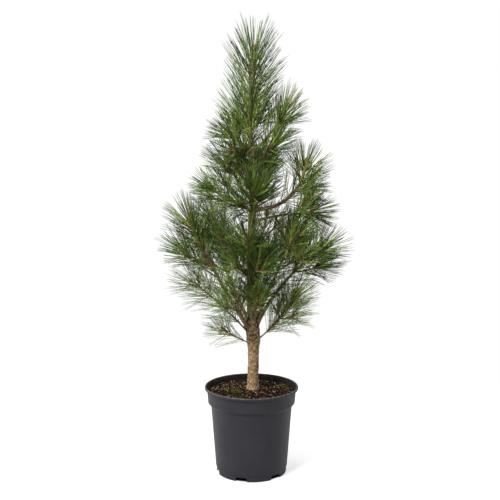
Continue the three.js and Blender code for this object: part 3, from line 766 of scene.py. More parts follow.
def bark_material():
    """Tan, blotted old bark and brown young bark, told apart by the age of each point."""
    material, tree, shader = new_material("bark", 0.85)
    tan = add_ramp(
        tree,
        noise_texture(tree, 9),
        [(0.3, (0.20, 0.125, 0.064)), (0.5, (0.42, 0.285, 0.155)), (0.7, (0.68, 0.50, 0.31))],
    )
    young = add_ramp(
        tree,
        noise_texture(tree, 7),
        [(0.3, (0.17, 0.122, 0.062)), (0.52, (0.39, 0.285, 0.156)), (0.75, (0.60, 0.455, 0.27))],
    )
    rusty = mix_colours(tree, patches(tree, 4.5, 0.54, 0.62, 0.7), tan, RUST)
    flecked = mix_colours(tree, patches(tree, 2.8, 0.57, 0.63, 0.85), rusty, DARK_FLECK)
    shaded_limb = mix_colours(tree, height_band(tree, 398, 382, 0.8), young, SHADED_LIMB)
    plain = mix_colours(tree, attribute(tree, "age"), shaded_limb, flecked)
    greener = mix_colours(tree, height_band(tree, 335, 352, 0.35), plain, COLLAR_GREEN)
    # Painted shade: dark blots for the gaps between the stems, from the collar up
    hollow_shade_blots = multiply(tree, height_band(tree, 330, 350), patches(tree, 8, 0.46, 0.56, 0.85))
    with_hollow_shade = mix_colours(tree, hollow_shade_blots, greener, COLLAR_PAINTED_SHADE)
    # Painted shade: the trunk darkens under the crown, from 445 mm up
    shaded = mix_colours(tree, height_band(tree, 445, 510, 0.65), with_hollow_shade, SHADED_TRUNK)
    aged = mix_colours(tree, attribute(tree, "age"), plain, shaded)
    cracked = mix_colours(tree, attribute(tree, "crack"), aged, CRACK)
    tree.links.new(cracked, shader.inputs["Base Color"])
    add_bump(tree, shader, noise_texture(tree, 1.6, 5, 0.7), 0.7, 0.5)
    return material


bark.data.materials.append(bark_material())
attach(bark, "root")
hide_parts("trunk", *["bough_" + bough["name"] for bough in boughs])
print("bark stands for the trunk and", len(boughs), "boughs")

# %% [markdown]
# ## Twigs
# The leafy ends of boughs, the side shoots and the short twigs are brown and knobbly,
# because each pair of needles sits on a small cushion. A remesh would wipe out limbs this thin,
# so they stay tubes, and a ripple of the radius makes the cushions.

# %% Build the twigs
TWIG_SIDES = 8
TWIG_SPACING = 3.2
TWIG_OVERLAP = 3
CUSHION_HEIGHT = 0.16
NARROWING_PART = 0.25
# Masses of the shaded lowest boughs, whose twigs are thinner: share of the radius
THIN_TWIGS = {"low_left": 0.6, "long_left": 0.6, "low_front_left": 0.65, "low_right": 0.75}


def twig_path(shoot, spacing):
    """Points and radii along one shoot, narrowing over its first quarter in a shaded mass."""
    points, radii = smooth_path(shoot["points"], shoot["radii"], spacing)
    ends = [THIN_LIMBS.get(shoot["mass"], 1), THIN_TWIGS.get(shoot["mass"], 1)]
    shares = np.interp(np.linspace(0, 1, len(radii)), [0, NARROWING_PART], ends)
    return points, radii * shares


def twig_tube(shoot):
    """One shoot's tube, started a little inside what carries it."""
    points, radii = twig_path(shoot, TWIG_SPACING)
    points[0] -= unit(points[1] - points[0]) * TWIG_OVERLAP
    ripple = 1 + CUSHION_HEIGHT * np.array([(-1) ** i for i in range(len(radii))]) / 2
    return tube(points, radii * ripple, TWIG_SIDES)


def twig_material():
    """Brown with paler and darker clouds, and a fine roughness."""
    material, tree, shader = new_material("twig_bark", 0.75)
    colour = add_ramp(
        tree,
        noise_texture(tree, 6),
        [(0.3, (0.060, 0.042, 0.018)), (0.5, (0.15, 0.107, 0.050)), (0.75, (0.28, 0.20, 0.105))],
    )
    tree.links.new(colour, shader.inputs["Base Color"])
    add_bump(tree, shader, noise_texture(tree, 1.8), 0.6, 0.4)
    return material


leafy_shoots = [shoot for shoot in shoots if shoot["rank"] != "trunk"]
twig_parts = [twig_tube(shoot) for shoot in [*leafy_shoots, *twiglets]]
twigs = add_piece("twigs", *join_parts(twig_parts), [twig_material()])
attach(twigs, "root")

# %% [markdown]
# ## Where the needles stand
# This pine holds its needles in pairs, in a spiral round each shoot. Near the tip they point
# forward like a brush, and lower down they spread. Hair would be quicker, but only real meshes
# can be handed on, so a place is worked out for every pair. The table of fullness thins the
# masses that the light shines through and thickens the ones in front.

# %% Set the pairs in a spiral
GOLDEN_ANGLE = 137.508
PAIR_SPACING = {"stem": 1.0, "side": 1.06, "twiglet": 1.16, "trunk": 0.75}
SPACING_WANDER = (0.7, 1.3)
FIRST_PAIR = {"stem": 4, "side": 9, "twiglet": 5, "trunk": 2}
NEEDLE_SPREAD = {"stem": 45, "side": 44, "twiglet": 42, "trunk": 40}
NEEDLE_SPREAD_AT_TIP = 20
CLOSING_LENGTH = 22
NEEDLE_TIP_SHORTENING = 0.12
LENGTH_WANDER = (0.86, 1.06)
LEAN_WANDER = {"stem": 13, "side": 13, "twiglet": 13, "trunk": 8}
TURN_WANDER = 16
ROOT_DEPTH = 0.85
PATH_SPACING = 4
FOOT_THINNING = 2.6
FOOT_THINNING_CURVE = 1.5
# Share of the needles that each mass has
FULLNESS = {
    "low_left": 0.45, "low_right": 1.25, "long_left": 0.65, "low_front": 0.85,
    "low_front_left": 1.1, "front_middle": 1.1, "big_left": 1.05, "big_right": 0.9,
    "back_left": 0.78, "back_right": 0.6, "middle_front_right": 0.95, "middle_left": 0.55,
    "middle_right": 0.45, "middle_back": 0.3, "middle_back_left": 0.45,
    "middle_back_right": 0.25, "high_left": 0.64, "high_front_left": 0.8, "high_front": 1.2,
    "high_right": 0.58, "high_back": 1.35, "high_right_low": 1.1, "top_left": 0.8,
    "top_front_left": 0.65, "top_front_right": 0.65, "top_back": 0.55, "top_right": 0.8,
    "leader": 0.92,
}
# Masses that are as full at their foot as at their tip
EVEN_MASSES = ("low_left", "low_right", "long_left", "high_right")
# Masses whose side twigs are thinly needled, beside a fuller stem: share of the needles
THIN_SIDES = {"low_right": 0.34}


def spiral_pairs(shoot, throw):
    """One row for each pair: root, way along the shoot, way out, lean, length."""
    points, radii = twig_path(shoot, PATH_SPACING)
    steps = np.linalg.norm(np.diff(points, axis=0), axis=1)
    at = np.concatenate([[0], np.cumsum(steps)])
    distance = FIRST_PAIR[shoot["rank"]]
    turn = throw(0, 360)
    even = shoot["rank"] == "trunk" or shoot["mass"] in EVEN_MASSES
    thinning = 0 if even else FOOT_THINNING
    rows = []
    while distance < at[-1]:
        part = distance / at[-1]
        index = min(int(np.searchsorted(at, distance, "right")) - 1, len(steps) - 1)
        along = unit(points[index + 1] - points[index])
        centre = points[index] + along * (distance - at[index])
        level, upward = cross_axes(along)
        around = math.radians(turn + throw(-TURN_WANDER, TURN_WANDER))
        out = level * math.cos(around) + upward * math.sin(around)
        spread, wander = NEEDLE_SPREAD[shoot["rank"]], LEAN_WANDER[shoot["rank"]]
        closing = math.exp((distance - at[-1]) / CLOSING_LENGTH)
        lean = spread + (NEEDLE_SPREAD_AT_TIP - spread) * closing + throw(-wander, wander)
        shortening = 1 - NEEDLE_TIP_SHORTENING * part**2
        length = shoot["needle"] * shortening * throw(*LENGTH_WANDER)
        root = centre + out * np.interp(distance, at, radii) * ROOT_DEPTH
        rows.append((root, along, out, math.radians(lean), length))
        bare_foot = 1 + thinning * (1 - part) ** FOOT_THINNING_CURVE
        fullness = FULLNESS.get(shoot["mass"], 1)
        if shoot["rank"] != "stem":
            fullness *= THIN_SIDES.get(shoot["mass"], 1)
        distance += PAIR_SPACING[shoot["rank"]] * bare_foot * throw(*SPACING_WANDER) / fullness
        turn += GOLDEN_ANGLE
    return rows


leader = sleeves[-1]
print("pairs on the leader:", len(spiral_pairs(leader, make_dice(1))))

# %% [markdown]
# ## The needles of each pair
# The two needles of a pair open a little and curve. They are under 2 mm thick and mostly 5 to
# 10 cm long, and up to 12 cm on the leader. They could all be copies of one needle, but then the
# tufts would look combed. Each gets its own opening, bend and length from the dice. Needles that
# would pass through a limb are left out.

# %% Lay out every needle
NEEDLE_SEED = 2024
NEEDLE_WIDTH = 0.78
PAIR_ANGLE = 2.2
PAIR_OPENING = (0.4, 1.8)
PARTNER_LENGTHS = (0.94, 1.03)
NEEDLE_BEND = 0.07
BEND_FORWARD = (0.2, 1)
BEND_UPWARD = (-0.5, 0.4)
BEND_SIDEWAYS = (-0.5, 0.5)
FREE_PART = 0.16
NEEDLE_CLEARANCE = 0.9
# Masses of the shaded lowest boughs, whose needles are thinner: share of the width
SLENDER_MASSES = {
    "low_left": 0.6, "long_left": 0.62, "low_front_left": 0.62, "low_right": 0.62,
    "low_front": 0.75, "back_left": 0.85,
}


def needle_rows(shoot, throw):
    """Each pair's two needles: root, heading, flat side, bend, length, width, pair."""
    made = []
    width = NEEDLE_WIDTH * SLENDER_MASSES.get(shoot["mass"], 1)
    for pair, (root, along, out, lean, length) in enumerate(spiral_pairs(shoot, throw)):
        heading = along * math.cos(lean) + out * math.sin(lean)
        side = unit(np.cross(along, out))
        twist = throw(0, math.pi)
        flat = side * math.cos(twist) + unit(np.cross(heading, side)) * math.sin(twist)
        bend = along * throw(*BEND_FORWARD) + UP * throw(*BEND_UPWARD)
        bend = bend + side * throw(*BEND_SIDEWAYS)
        for half in (-1, 1):
            opening = math.radians(PAIR_ANGLE * throw(*PAIR_OPENING)) * half
            way = unit(heading * math.cos(opening) + flat * math.sin(opening))
            reach = length * throw(*PARTNER_LENGTHS)
            made.append((root, way, flat * half, bend * NEEDLE_BEND, reach, width, pair))
    return made


def clear_of_limbs(roots, ways, lengths):
    """Which needles miss the trunk and the bare boughs."""
    starts = roots + ways * (lengths * FREE_PART)[:, None]
    ends = roots + ways * lengths[:, None]
    apart, _ = pieces_apart(starts, ends, limb_starts, limb_ends)
    return (apart > limb_radii[None] + NEEDLE_CLEARANCE).all(1)


needle_dice = make_dice(NEEDLE_SEED)
grown_needles = {}
for shoot in [*shoots, *twiglets]:
    rows = needle_rows(shoot, needle_dice)
    columns = [np.array(column) for column in zip(*rows)]
    roots, ways, _, _, lengths, _, _ = columns
    kept = clear_of_limbs(roots, ways, lengths)
    columns = [column[kept] for column in columns]
    grown_needles.setdefault(shoot["mass"], []).append(columns)
needle_count = sum(len(columns[0]) for group in grown_needles.values() for columns in group)
print("needles:", needle_count)

# %% [markdown]
# ## Needle colours
# Young tufts are bright yellow-green, shaded ones deep green, and the odd old needle is straw.
# A pattern could tint them, but it would slide about on such thin blades. So a few plain colours
# are dealt out spray by spray, with a throw of the dice for each pair of needles.

# %% Mix the greens
TONES = [
    ("needle_deep", (0.022, 0.038, 0.006)),
    ("needle_shade", (0.058, 0.096, 0.014)),
    ("needle_green", (0.112, 0.186, 0.018)),
    ("needle_fresh", (0.205, 0.310, 0.042)),
    ("needle_bright", (0.370, 0.475, 0.125)),
    ("needle_straw", (0.380, 0.270, 0.120)),
]


def needle_material(name, colour):
    """A waxy, slightly glossy green."""
    material, tree, shader = new_material(name, 0.36, 0.42)
    shader.inputs["Base Color"].default_value = (*colour, 1)
    add_bump(tree, shader, noise_texture(tree, 2.5), 0.25, 0.1)
    return material


needle_materials = [needle_material(*tone) for tone in TONES]
print("needle colours:", [name for name, _ in TONES])

# %% [markdown]
# ## Needle shape
# A real needle is half round, tapered at both ends and gently bent. A round tube would need far
# too many faces for ten thousand of them, so each is a three-sided blade with four rings and a
# point. All needles of a part of the crown are worked out at once, as columns of numbers.

# %% Give the needles points and faces
# Part of the length and share of the width at each ring
NEEDLE_STATIONS = [(0, 0.75), (0.3, 1), (0.65, 0.95), (0.9, 0.75)]
BLADE_ANGLES = [90, 210, 330]
NEEDLE_FLATNESS = 0.72


def needle_points(roots, ways, flats, bends, lengths, widths):
    """Points of many needles at once: four rings of three corners, and a tip."""
    edges = np.cross(ways, flats)
    rings = []
    for part, share in [*NEEDLE_STATIONS, (1, 0)]:
        middle = roots + (ways * part + bends * part**2) * lengths[:, None]
        for angle in BLADE_ANGLES if share else [0]:
            across = flats * math.cos(math.radians(angle))
            across = across + edges * (NEEDLE_FLATNESS * math.sin(math.radians(angle)))
            rings.append(middle + across * (widths * share)[:, None])
    return np.stack(rings, axis=1).reshape(-1, 3)


def needle_faces(count):
    """Faces of that many needles, in the order of their points."""
    pattern = []
    for i in range(len(NEEDLE_STATIONS) - 1):
        for k in range(3):
            n = (k + 1) % 3
            pattern.append([3 * i + k, 3 * i + n, 3 * i + 3 + n, 3 * i + 3 + k])
    top = 3 * len(NEEDLE_STATIONS)
    caps = [[top - 3 + k, top - 3 + (k + 1) % 3, top] for k in range(3)]
    faces = []
    for needle in range(count):
        start = needle * (top + 1)
        faces.extend([[corner + start for corner in face] for face in [*pattern, *caps]])
    return faces


print("faces of one needle:", len(needle_faces(1)))

# %% [markdown]
# ## Needles in sprays
# The crown could be one huge mesh, but pieces of a moderate size are easier to handle. So it is
# split into six, by the height at which the boughs leave the trunk. Each spray has a tone of its
# own, which lifts the tufts apart, and every needle gets painted shade towards its tip, where it
# stands dark against the light.

# %% Build the needles of each part of the crown
STRAW = len(TONES) - 1
# Painted shade: from these faces on, a needle is one and then two tones darker
OUTER_FACES = 3
TIP_FACES = 6
TONE_SEED = 31
SPRAY_TONES = (1.9, 3.3)
TONE_WANDER = 2.5
STRAW_CHANCE = 0.012
# The thin needles of the lowest masses let light through: painted light raises their tones
SLENDER_PAINTED_LIGHT = 0.9
# Which boughs belong to each part, by the height at which they leave the trunk
CROWN_PARTS = {
    "low": (0, 365), "big": (365, 403), "wide": (403, 530),
    "middle": (530, 670), "high": (670, 800), "top": (800, 2000),
}


def tones_along(tones):
    """Face tones with painted shade: one step darker past a needle's foot, two past its middle."""
    tones = np.array(tones)
    shades = np.repeat(tones[:, None], 3 * len(NEEDLE_STATIONS), axis=1)
    for first_face, shade in ((OUTER_FACES, 1), (TIP_FACES, 2)):
        darker = np.where(tones == STRAW, STRAW, np.maximum(tones - shade, 0))
        shades[:, first_face:] = darker[:, None]
    return shades.ravel()


def tone_of_spray(columns, lift, throw):
    """Tones of one spray: its own, raised by any painted light, give or take, alike in a pair."""
    spray = throw(*SPRAY_TONES) + lift
    *_, pairs = columns
    tones = []
    for _ in range(pairs.max() + 1):
        tone = round(spray + throw(-TONE_WANDER, TONE_WANDER))
        straw = throw(0, 1) < STRAW_CHANCE
        tones.append(STRAW if straw else min(max(tone, 0), STRAW - 1))
    return [tones[pair] for pair in pairs]


heights = {bough["name"]: bough["height"] for bough in boughs}
heights.update({name: low for name, low, _, _ in SLEEVES})
tone_dice = make_dice(TONE_SEED)
for crown_part, (low, high) in CROWN_PARTS.items():
    members = [name for name in grown_needles if low <= heights[name] < high]
    groups, tones = [], []
    for member in members:
        # Painted light: paler tones for the thin needles of the lowest masses
        lift = SLENDER_PAINTED_LIGHT if member in SLENDER_MASSES else 0
        for columns in grown_needles[member]:
            groups.append(columns)
            tones.extend(tone_of_spray(columns, lift, tone_dice))
    columns = [np.concatenate(column) for column in zip(*groups)]
    points = needle_points(*columns[:6])
    faces = needle_faces(len(columns[0]))
    name = "needles_" + crown_part
    needles = add_piece(name, points, faces, needle_materials, tones_along(tones))
    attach(needles, "root")
    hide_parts(*["foliage_" + member for member in members])

# %% [markdown]
# ## Buds
# Every shoot ends in a pointed bud with overlapping red-brown scales, often with smaller
# buds beside it. They show as warm dots in the middle of each brush. A bud is turned like a
# spindle, with every other ring drawn in so that the scales catch the light.

# %% Build the buds
# Part of the length and share of the radius at each ring, then length and radius by kind
BUD_PROFILE = [
    (-0.1, 0.6), (0.1, 0.95), (0.22, 0.84), (0.36, 1), (0.48, 0.82),
    (0.6, 0.84), (0.7, 0.62), (0.8, 0.58), (0.9, 0.3), (1, 0.06),
]
BUD_SIZES = {"stem": (15, 3.3), "side": (11, 2.6), "twiglet": (8, 2.1), "trunk": (17, 4.2)}
BUD_SIDES = 8
BUD_SEED = 88
BUD_LENGTHS = (0.85, 1.1)
SIDE_BUDS = {"stem": 3, "side": 2, "twiglet": 0, "trunk": 4}
SIDE_BUD_LENGTHS = (0.45, 0.65)
SIDE_BUD_SHARE = 0.6
SIDE_BUD_LEAN = 0.6
SIDE_BUD_DROP = 2


def bud(tip, along, length, radius):
    """One pointed bud, as a tube whose radius follows the profile."""
    points = np.array([tip + along * length * part for part, _ in BUD_PROFILE])
    return tube(points, [radius * share for _, share in BUD_PROFILE], BUD_SIDES)


def buds_of(shoot, throw):
    """The bud at the tip of a shoot, with the smaller ones beside it."""
    tip = shoot["points"][-1]
    if shoot["rank"] == "trunk":
        tip = TRUNK[-1][[1, 2, 0]]
    along = unit(shoot["points"][-1] - shoot["points"][-2])
    share = THIN_TWIGS.get(shoot["mass"], 1)
    length, radius = (size * share for size in BUD_SIZES[shoot["rank"]])
    made = [bud(tip, along, length * throw(*BUD_LENGTHS), radius)]
    level, upward = cross_axes(along)
    turn = throw(0, 360)
    side_buds = SIDE_BUDS[shoot["rank"]]
    for k in range(side_buds):
        around = math.radians(turn + 360 * k / side_buds)
        out = level * math.cos(around) + upward * math.sin(around)
        way = unit(along + out * SIDE_BUD_LEAN)
        root = tip + out * radius * SIDE_BUD_SHARE - along * SIDE_BUD_DROP
        side_length = length * throw(*SIDE_BUD_LENGTHS)
        made.append(bud(root, way, side_length, radius * SIDE_BUD_SHARE))
    return made


def bud_material():
    """Red-brown scales with pale edges."""
    material, tree, shader = new_material("bud_scales", 0.55, 0.4)
    colour = add_ramp(
        tree,
        noise_texture(tree, 3),
        [(0.35, (0.20, 0.075, 0.03)), (0.55, (0.36, 0.16, 0.07)), (0.75, (0.55, 0.36, 0.22))],
    )
    tree.links.new(colour, shader.inputs["Base Color"])
    add_bump(tree, shader, noise_texture(tree, 1.2), 0.5, 0.3)
    return material


bud_dice = make_dice(BUD_SEED)
budding = [shoot for shoot in [*shoots, *twiglets] if shoot["mass"] != "trunk_middle"]
bud_parts = [part for shoot in budding for part in buds_of(shoot, bud_dice)]
buds = add_piece("buds", *join_parts(bud_parts), [bud_material()])
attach(buds, "root")

# %% [markdown]
# ## Sheaths
# Each pair of needles grows out of a short papery sheath. Together the sheaths make the shoots
# look thick and brown inside the green. A sheath is one three-sided sleeve over the pair's foot.

# %% Build the needle sheaths
SHEATH_RADIUS = 1.15
SHEATH_LENGTH = 7
# Distance from the needles' root and share of the radius at both ends of a sheath
SHEATH_ENDS = ((-0.5, 1), (SHEATH_LENGTH, 0.72))


def sheath_points(roots, ways, flats):
    """Points of many sheaths at once: two rings of three corners."""
    edges = np.cross(ways, flats)
    rings = []
    for distance, share in SHEATH_ENDS:
        for angle in BLADE_ANGLES:
            across = flats * math.cos(math.radians(angle)) + edges * math.sin(math.radians(angle))
            rings.append(roots + ways * distance + across * (SHEATH_RADIUS * share))
    return np.stack(rings, axis=1).reshape(-1, 3)


def sheath_material():
    """Dull papery brown."""
    material, tree, shader = new_material("sheath", 0.8)
    colour = add_ramp(
        tree, noise_texture(tree, 8), [(0.35, (0.13, 0.075, 0.035)), (0.65, (0.30, 0.19, 0.10))]
    )
    tree.links.new(colour, shader.inputs["Base Color"])
    return material


pairs = [columns for group in grown_needles.values() for columns in group]
# Two needles of a pair follow each other, so roughly every other one stands for its pair
firsts = [np.concatenate([column[::2] for column in columns]) for columns in zip(*pairs)][:3]
points = sheath_points(*firsts)
sides = len(BLADE_ANGLES)
faces = []
for start in range(0, len(points), sides * len(SHEATH_ENDS)):
    for k in range(sides):
        n = (k + 1) % sides
        faces.append([start + k, start + n, start + sides + n, start + sides + k])
sheaths = add_piece("needle_sheaths", points, faces, [sheath_material()])
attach(sheaths, "root")

# %% [markdown]
# ## The pot's section
# The pot is injection-moulded: a thin tapered wall, a sloping step, a straight collar and a
# rolled lip. It could be a cylinder with bevels, but then its fillets would all be alike. So the
# section is written down once, up the outside and down the inside, with every rounding.

# %% Write down the section of the wall
LIP_RADIUS = 121.2
LIP_HEIGHT = 228
COLLAR_RADIUS = LIP_RADIUS - 5.7
COLLAR_FOOT = 186
COLLAR_FOOT_RADIUS = COLLAR_RADIUS - 2.7
STEP_FOOT = 178
STEP_RADIUS = 105
BASE_RADIUS = 90.5
WALL = 2.2
FLOOR_TOP = 2.6
# Radius and height of each corner
OUTSIDE = [
    (0, 0),
    (BASE_RADIUS - 2, 0),
    (BASE_RADIUS - 0.4, 0.4),
    (BASE_RADIUS, 1.6),
    (BASE_RADIUS + 0.5, 14.6),
    (BASE_RADIUS + 0.9, 15.8),
    (BASE_RADIUS + 1.9, 16.6),
    (BASE_RADIUS + 2.5, 18.2),
    (STEP_RADIUS - 0.1, STEP_FOOT - 1),
    (STEP_RADIUS + 0.2, STEP_FOOT - 0.2),
    (STEP_RADIUS + 0.8, STEP_FOOT + 0.6),
    (COLLAR_FOOT_RADIUS - 0.8, COLLAR_FOOT - 0.8),
    (COLLAR_FOOT_RADIUS - 0.2, COLLAR_FOOT - 0.1),
    (COLLAR_FOOT_RADIUS, COLLAR_FOOT + 0.9),
    (COLLAR_RADIUS - 0.3, LIP_HEIGHT - 9.6),
    (COLLAR_RADIUS + 0.3, LIP_HEIGHT - 8.5),
    (LIP_RADIUS - 2.2, LIP_HEIGHT - 8.2),
    (LIP_RADIUS - 0.8, LIP_HEIGHT - 7.2),
    (LIP_RADIUS - 0.1, LIP_HEIGHT - 5.8),
    (LIP_RADIUS, LIP_HEIGHT - 4),
    (LIP_RADIUS - 0.2, LIP_HEIGHT - 2),
    (LIP_RADIUS - 0.9, LIP_HEIGHT - 0.6),
    (LIP_RADIUS - 2, LIP_HEIGHT),
]
INSIDE = [
    (LIP_RADIUS - 3.2, LIP_HEIGHT - 0.2),
    (LIP_RADIUS - 4.4, LIP_HEIGHT - 1.2),
    (COLLAR_RADIUS - WALL + 1, LIP_HEIGHT - 7),
    (COLLAR_RADIUS - WALL, LIP_HEIGHT - 9),
    (COLLAR_FOOT_RADIUS - WALL, COLLAR_FOOT + 1),
    (STEP_RADIUS - WALL, STEP_FOOT + 1),
    (BASE_RADIUS + 2.5 - WALL, 20),
    (BASE_RADIUS - WALL, FLOOR_TOP),
    (0, FLOOR_TOP),
]
print("pot section:", len(OUTSIDE) + len(INSIDE), "corners,", LIP_HEIGHT, "mm high")

# %% [markdown]
# ## Turning and cutting the pot
# At the foot the wall has six low notches that let water out. Screw modifiers can turn a
# section too, but they leave the seam to be closed. Here the section is turned ring by ring into
# a closed body, and blocks with sloping sides cut the notches out of it.

# %% Turn the pot and cut its foot
POT_SEGMENTS = 160
SLOT_COUNT = 6
SLOT_WIDTH = 32
SLOT_HEIGHT = 11
SLOT_SLOPE = 3
SLOT_REACH = 6
SLOT_DIP = 2
FIRST_SLOT_ANGLE = 253
SHARP_ANGLE = 32


def lathe(profile, segments_round):
    """Turns a section from axis to axis round +Z: points and faces."""
    angles = 2 * np.pi * np.arange(segments_round) / segments_round
    ring = np.stack([np.cos(angles), np.sin(angles)], axis=1)
    inner = profile[1:-1]
    points = [np.column_stack([ring * radius, np.full(len(ring), z)]) for radius, z in inner]
    points.append(np.array([[0, 0, profile[0][1]], [0, 0, profile[-1][1]]], float))
    faces = []
    last = (len(inner) - 1) * segments_round
    foot, head = len(inner) * segments_round, len(inner) * segments_round + 1
    for k in range(segments_round):
        n = (k + 1) % segments_round
        faces.append([foot, n, k])
        faces.append([head, last + k, last + n])
        for i in range(len(inner) - 1):
            a, b = i * segments_round, (i + 1) * segments_round
            faces.append([a + k, a + n, b + n, b + k])
    return np.concatenate(points), faces


def slot_cutter(angle):
    """A notch with sloping sides, as a block across the foot of the wall."""
    half_foot = SLOT_WIDTH / 2
    half_top = half_foot - SLOT_SLOPE
    section = [(-half_foot, -SLOT_DIP), (half_foot, -SLOT_DIP)]
    section += [(half_top, SLOT_HEIGHT), (-half_top, SLOT_HEIGHT)]
    radii = (BASE_RADIUS - SLOT_REACH, BASE_RADIUS + SLOT_REACH)
    corners = [(radius, across, z) for radius in radii for across, z in section]
    turn = math.radians(angle)
    turned = [
        (x * math.cos(turn) - y * math.sin(turn), x * math.sin(turn) + y * math.cos(turn), z)
        for x, y, z in corners
    ]
    faces = [[0, 3, 2, 1], [4, 5, 6, 7], [0, 1, 5, 4], [1, 2, 6, 5], [2, 3, 7, 6], [3, 0, 4, 7]]
    return np.array(turned), faces


blank = add_piece("pot_blank", *lathe([*OUTSIDE, *INSIDE], POT_SEGMENTS), [])
slot_angles = [FIRST_SLOT_ANGLE + 360 * i / SLOT_COUNT for i in range(SLOT_COUNT)]
cutters = join_parts([slot_cutter(angle) for angle in slot_angles])
slots = add_piece("slot_cutters", *cutters, [])
cut = blank.modifiers.new("slots", "BOOLEAN")
cut.operation = "DIFFERENCE"
cut.solver = "EXACT"
cut.object = slots
pot_mesh = evaluated_mesh(blank, "nursery_pot")
bpy.data.objects.remove(blank)
bpy.data.objects.remove(slots)
pot_mesh.polygons.foreach_set("use_smooth", [True] * len(pot_mesh.polygons))
pot_mesh.set_sharp_from_angle(angle=math.radians(SHARP_ANGLE))
pot = bpy.data.objects.new("nursery_pot", pot_mesh)
bpy.context.scene.collection.objects.link(pot)
print("pot:", len(pot_mesh.polygons), "faces")

# %% [markdown]
# ## Pot finish
# The plastic is anthracite and half matt from the mould, with dried peat and a painted
# highlight along the top of the lip. The wall's inner face has painted shade, nearly black, with
# clouds of brown peat dust. Dust could be a second mesh, but it has no thickness: height along
# the wall decides where it lies, and noise breaks it up. The inner face gets a material of its
# own, picked by the way that each face looks.

# %% Colour the pot
# Peat dust on the lip, with a painted highlight there too
PEAT_DUST_AND_HIGHLIGHT = (0.125, 0.11, 0.095)
ROUGHNESS_WANDER = (0.40, 0.56)


def pot_material():
    """Anthracite plastic, with peat dust and a painted highlight in patches along the lip's top."""
    material, tree, shader = new_material("moulded_plastic", 0.45, 0.26)
    plastic = add_ramp(
        tree,
        noise_texture(tree, 60, 3),
        [(0.3, (0.0185, 0.0180, 0.0232)), (0.7, (0.0240, 0.0234, 0.0302))],
    )
    # Peat dust and a painted highlight in patches along the top of the lip
    at_rim = height_band(tree, LIP_HEIGHT - 3, LIP_HEIGHT - 1)
    rim_dust_and_highlight = multiply(tree, at_rim, patches(tree, 5, 0.42, 0.62))
    dust_and_highlight = mix_colours(tree, rim_dust_and_highlight, plastic, PEAT_DUST_AND_HIGHLIGHT)
    tree.links.new(dust_and_highlight, shader.inputs["Base Color"])
    shine = add_node(tree, "ShaderNodeMapRange")
    tree.links.new(noise_texture(tree, 14, 5), shine.inputs["Value"])
    for key, value in zip(("To Min", "To Max"), ROUGHNESS_WANDER):
        shine.inputs[key].default_value = value
    tree.links.new(shine.outputs[0], shader.inputs["Roughness"])
    add_bump(tree, shader, noise_texture(tree, 0.8, 2), 0.15, 0.1)
    return material


def inner_wall_material():
    """Plastic with painted shade, nearly black, and clouds of brown peat dust."""
    material, tree, shader = new_material("inner_wall", 0.8, 0.1)
    # Painted shade inside the pot: nearly black, with brown peat dust in the lighter clouds
    colour = [(0.4, (0.003, 0.003, 0.003)), (0.8, (0.03, 0.022, 0.015))]
    colour = add_ramp(tree, noise_texture(tree, 6, 6, 0.7), colour)
    tree.links.new(colour, shader.inputs["Base Color"])
    return material


def faces_inwards(face):
    """The wall's inner face, below the rim."""
    level = Vector((face.center.x, face.center.y, 0))
    return face.normal.dot(level) < 0 and face.center.z < (LIP_HEIGHT - 1) * MM


pot.data.materials.append(pot_material())
pot.data.materials.append(inner_wall_material())
for face in pot.data.polygons:
    face.material_index = int(faces_inwards(face))
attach(pot, "root")
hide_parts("pot")
# Counts the faces inside the pot that have painted shade and peat dust
inner_shade_and_dust = sum(face.material_index for face in pot.data.polygons)
print("stained faces inside the pot:", inner_shade_and_dust)

# %% [markdown]
# ## Soil
# The pot is filled with dark peat, a little higher round the trunk. One bumpy disc would look
# like felt, so the disc only carries the waves and the coarse roughness, and the crumbs are
# strewn over it later. A skirt under its edge gives the soil its thickness at the wall.

# %% Lay the soil's surface
SOIL_AT_WALL = 212
SOIL_AT_TRUNK = 220
SOIL_GAP = 1.2
SOIL_RADIUS = COLLAR_RADIUS - WALL - SOIL_GAP
SOIL_RINGS = 70
SOIL_SPOKES = 220
SKIRT_SHARE = 0.93
SKIRT_DEPTH = 14
# Width, place in the noise, and height of the waves, the lumps and the grain
SOIL_RELIEF = ((28, 0, 2.2), (6, 50, 1.3), (2.6, 9, 0.6))


def soil_height(x, y):
    """The soil's surface in millimetres, with its waves and crumbly roughness."""
    share = min(math.hypot(x, y) / SOIL_RADIUS, 1)
    mound = SOIL_AT_TRUNK + (SOIL_AT_WALL - SOIL_AT_TRUNK) * share
    relief = [noise.noise(Vector((x, y, z)) / width) * high for width, z, high in SOIL_RELIEF]
    return mound + sum(relief)


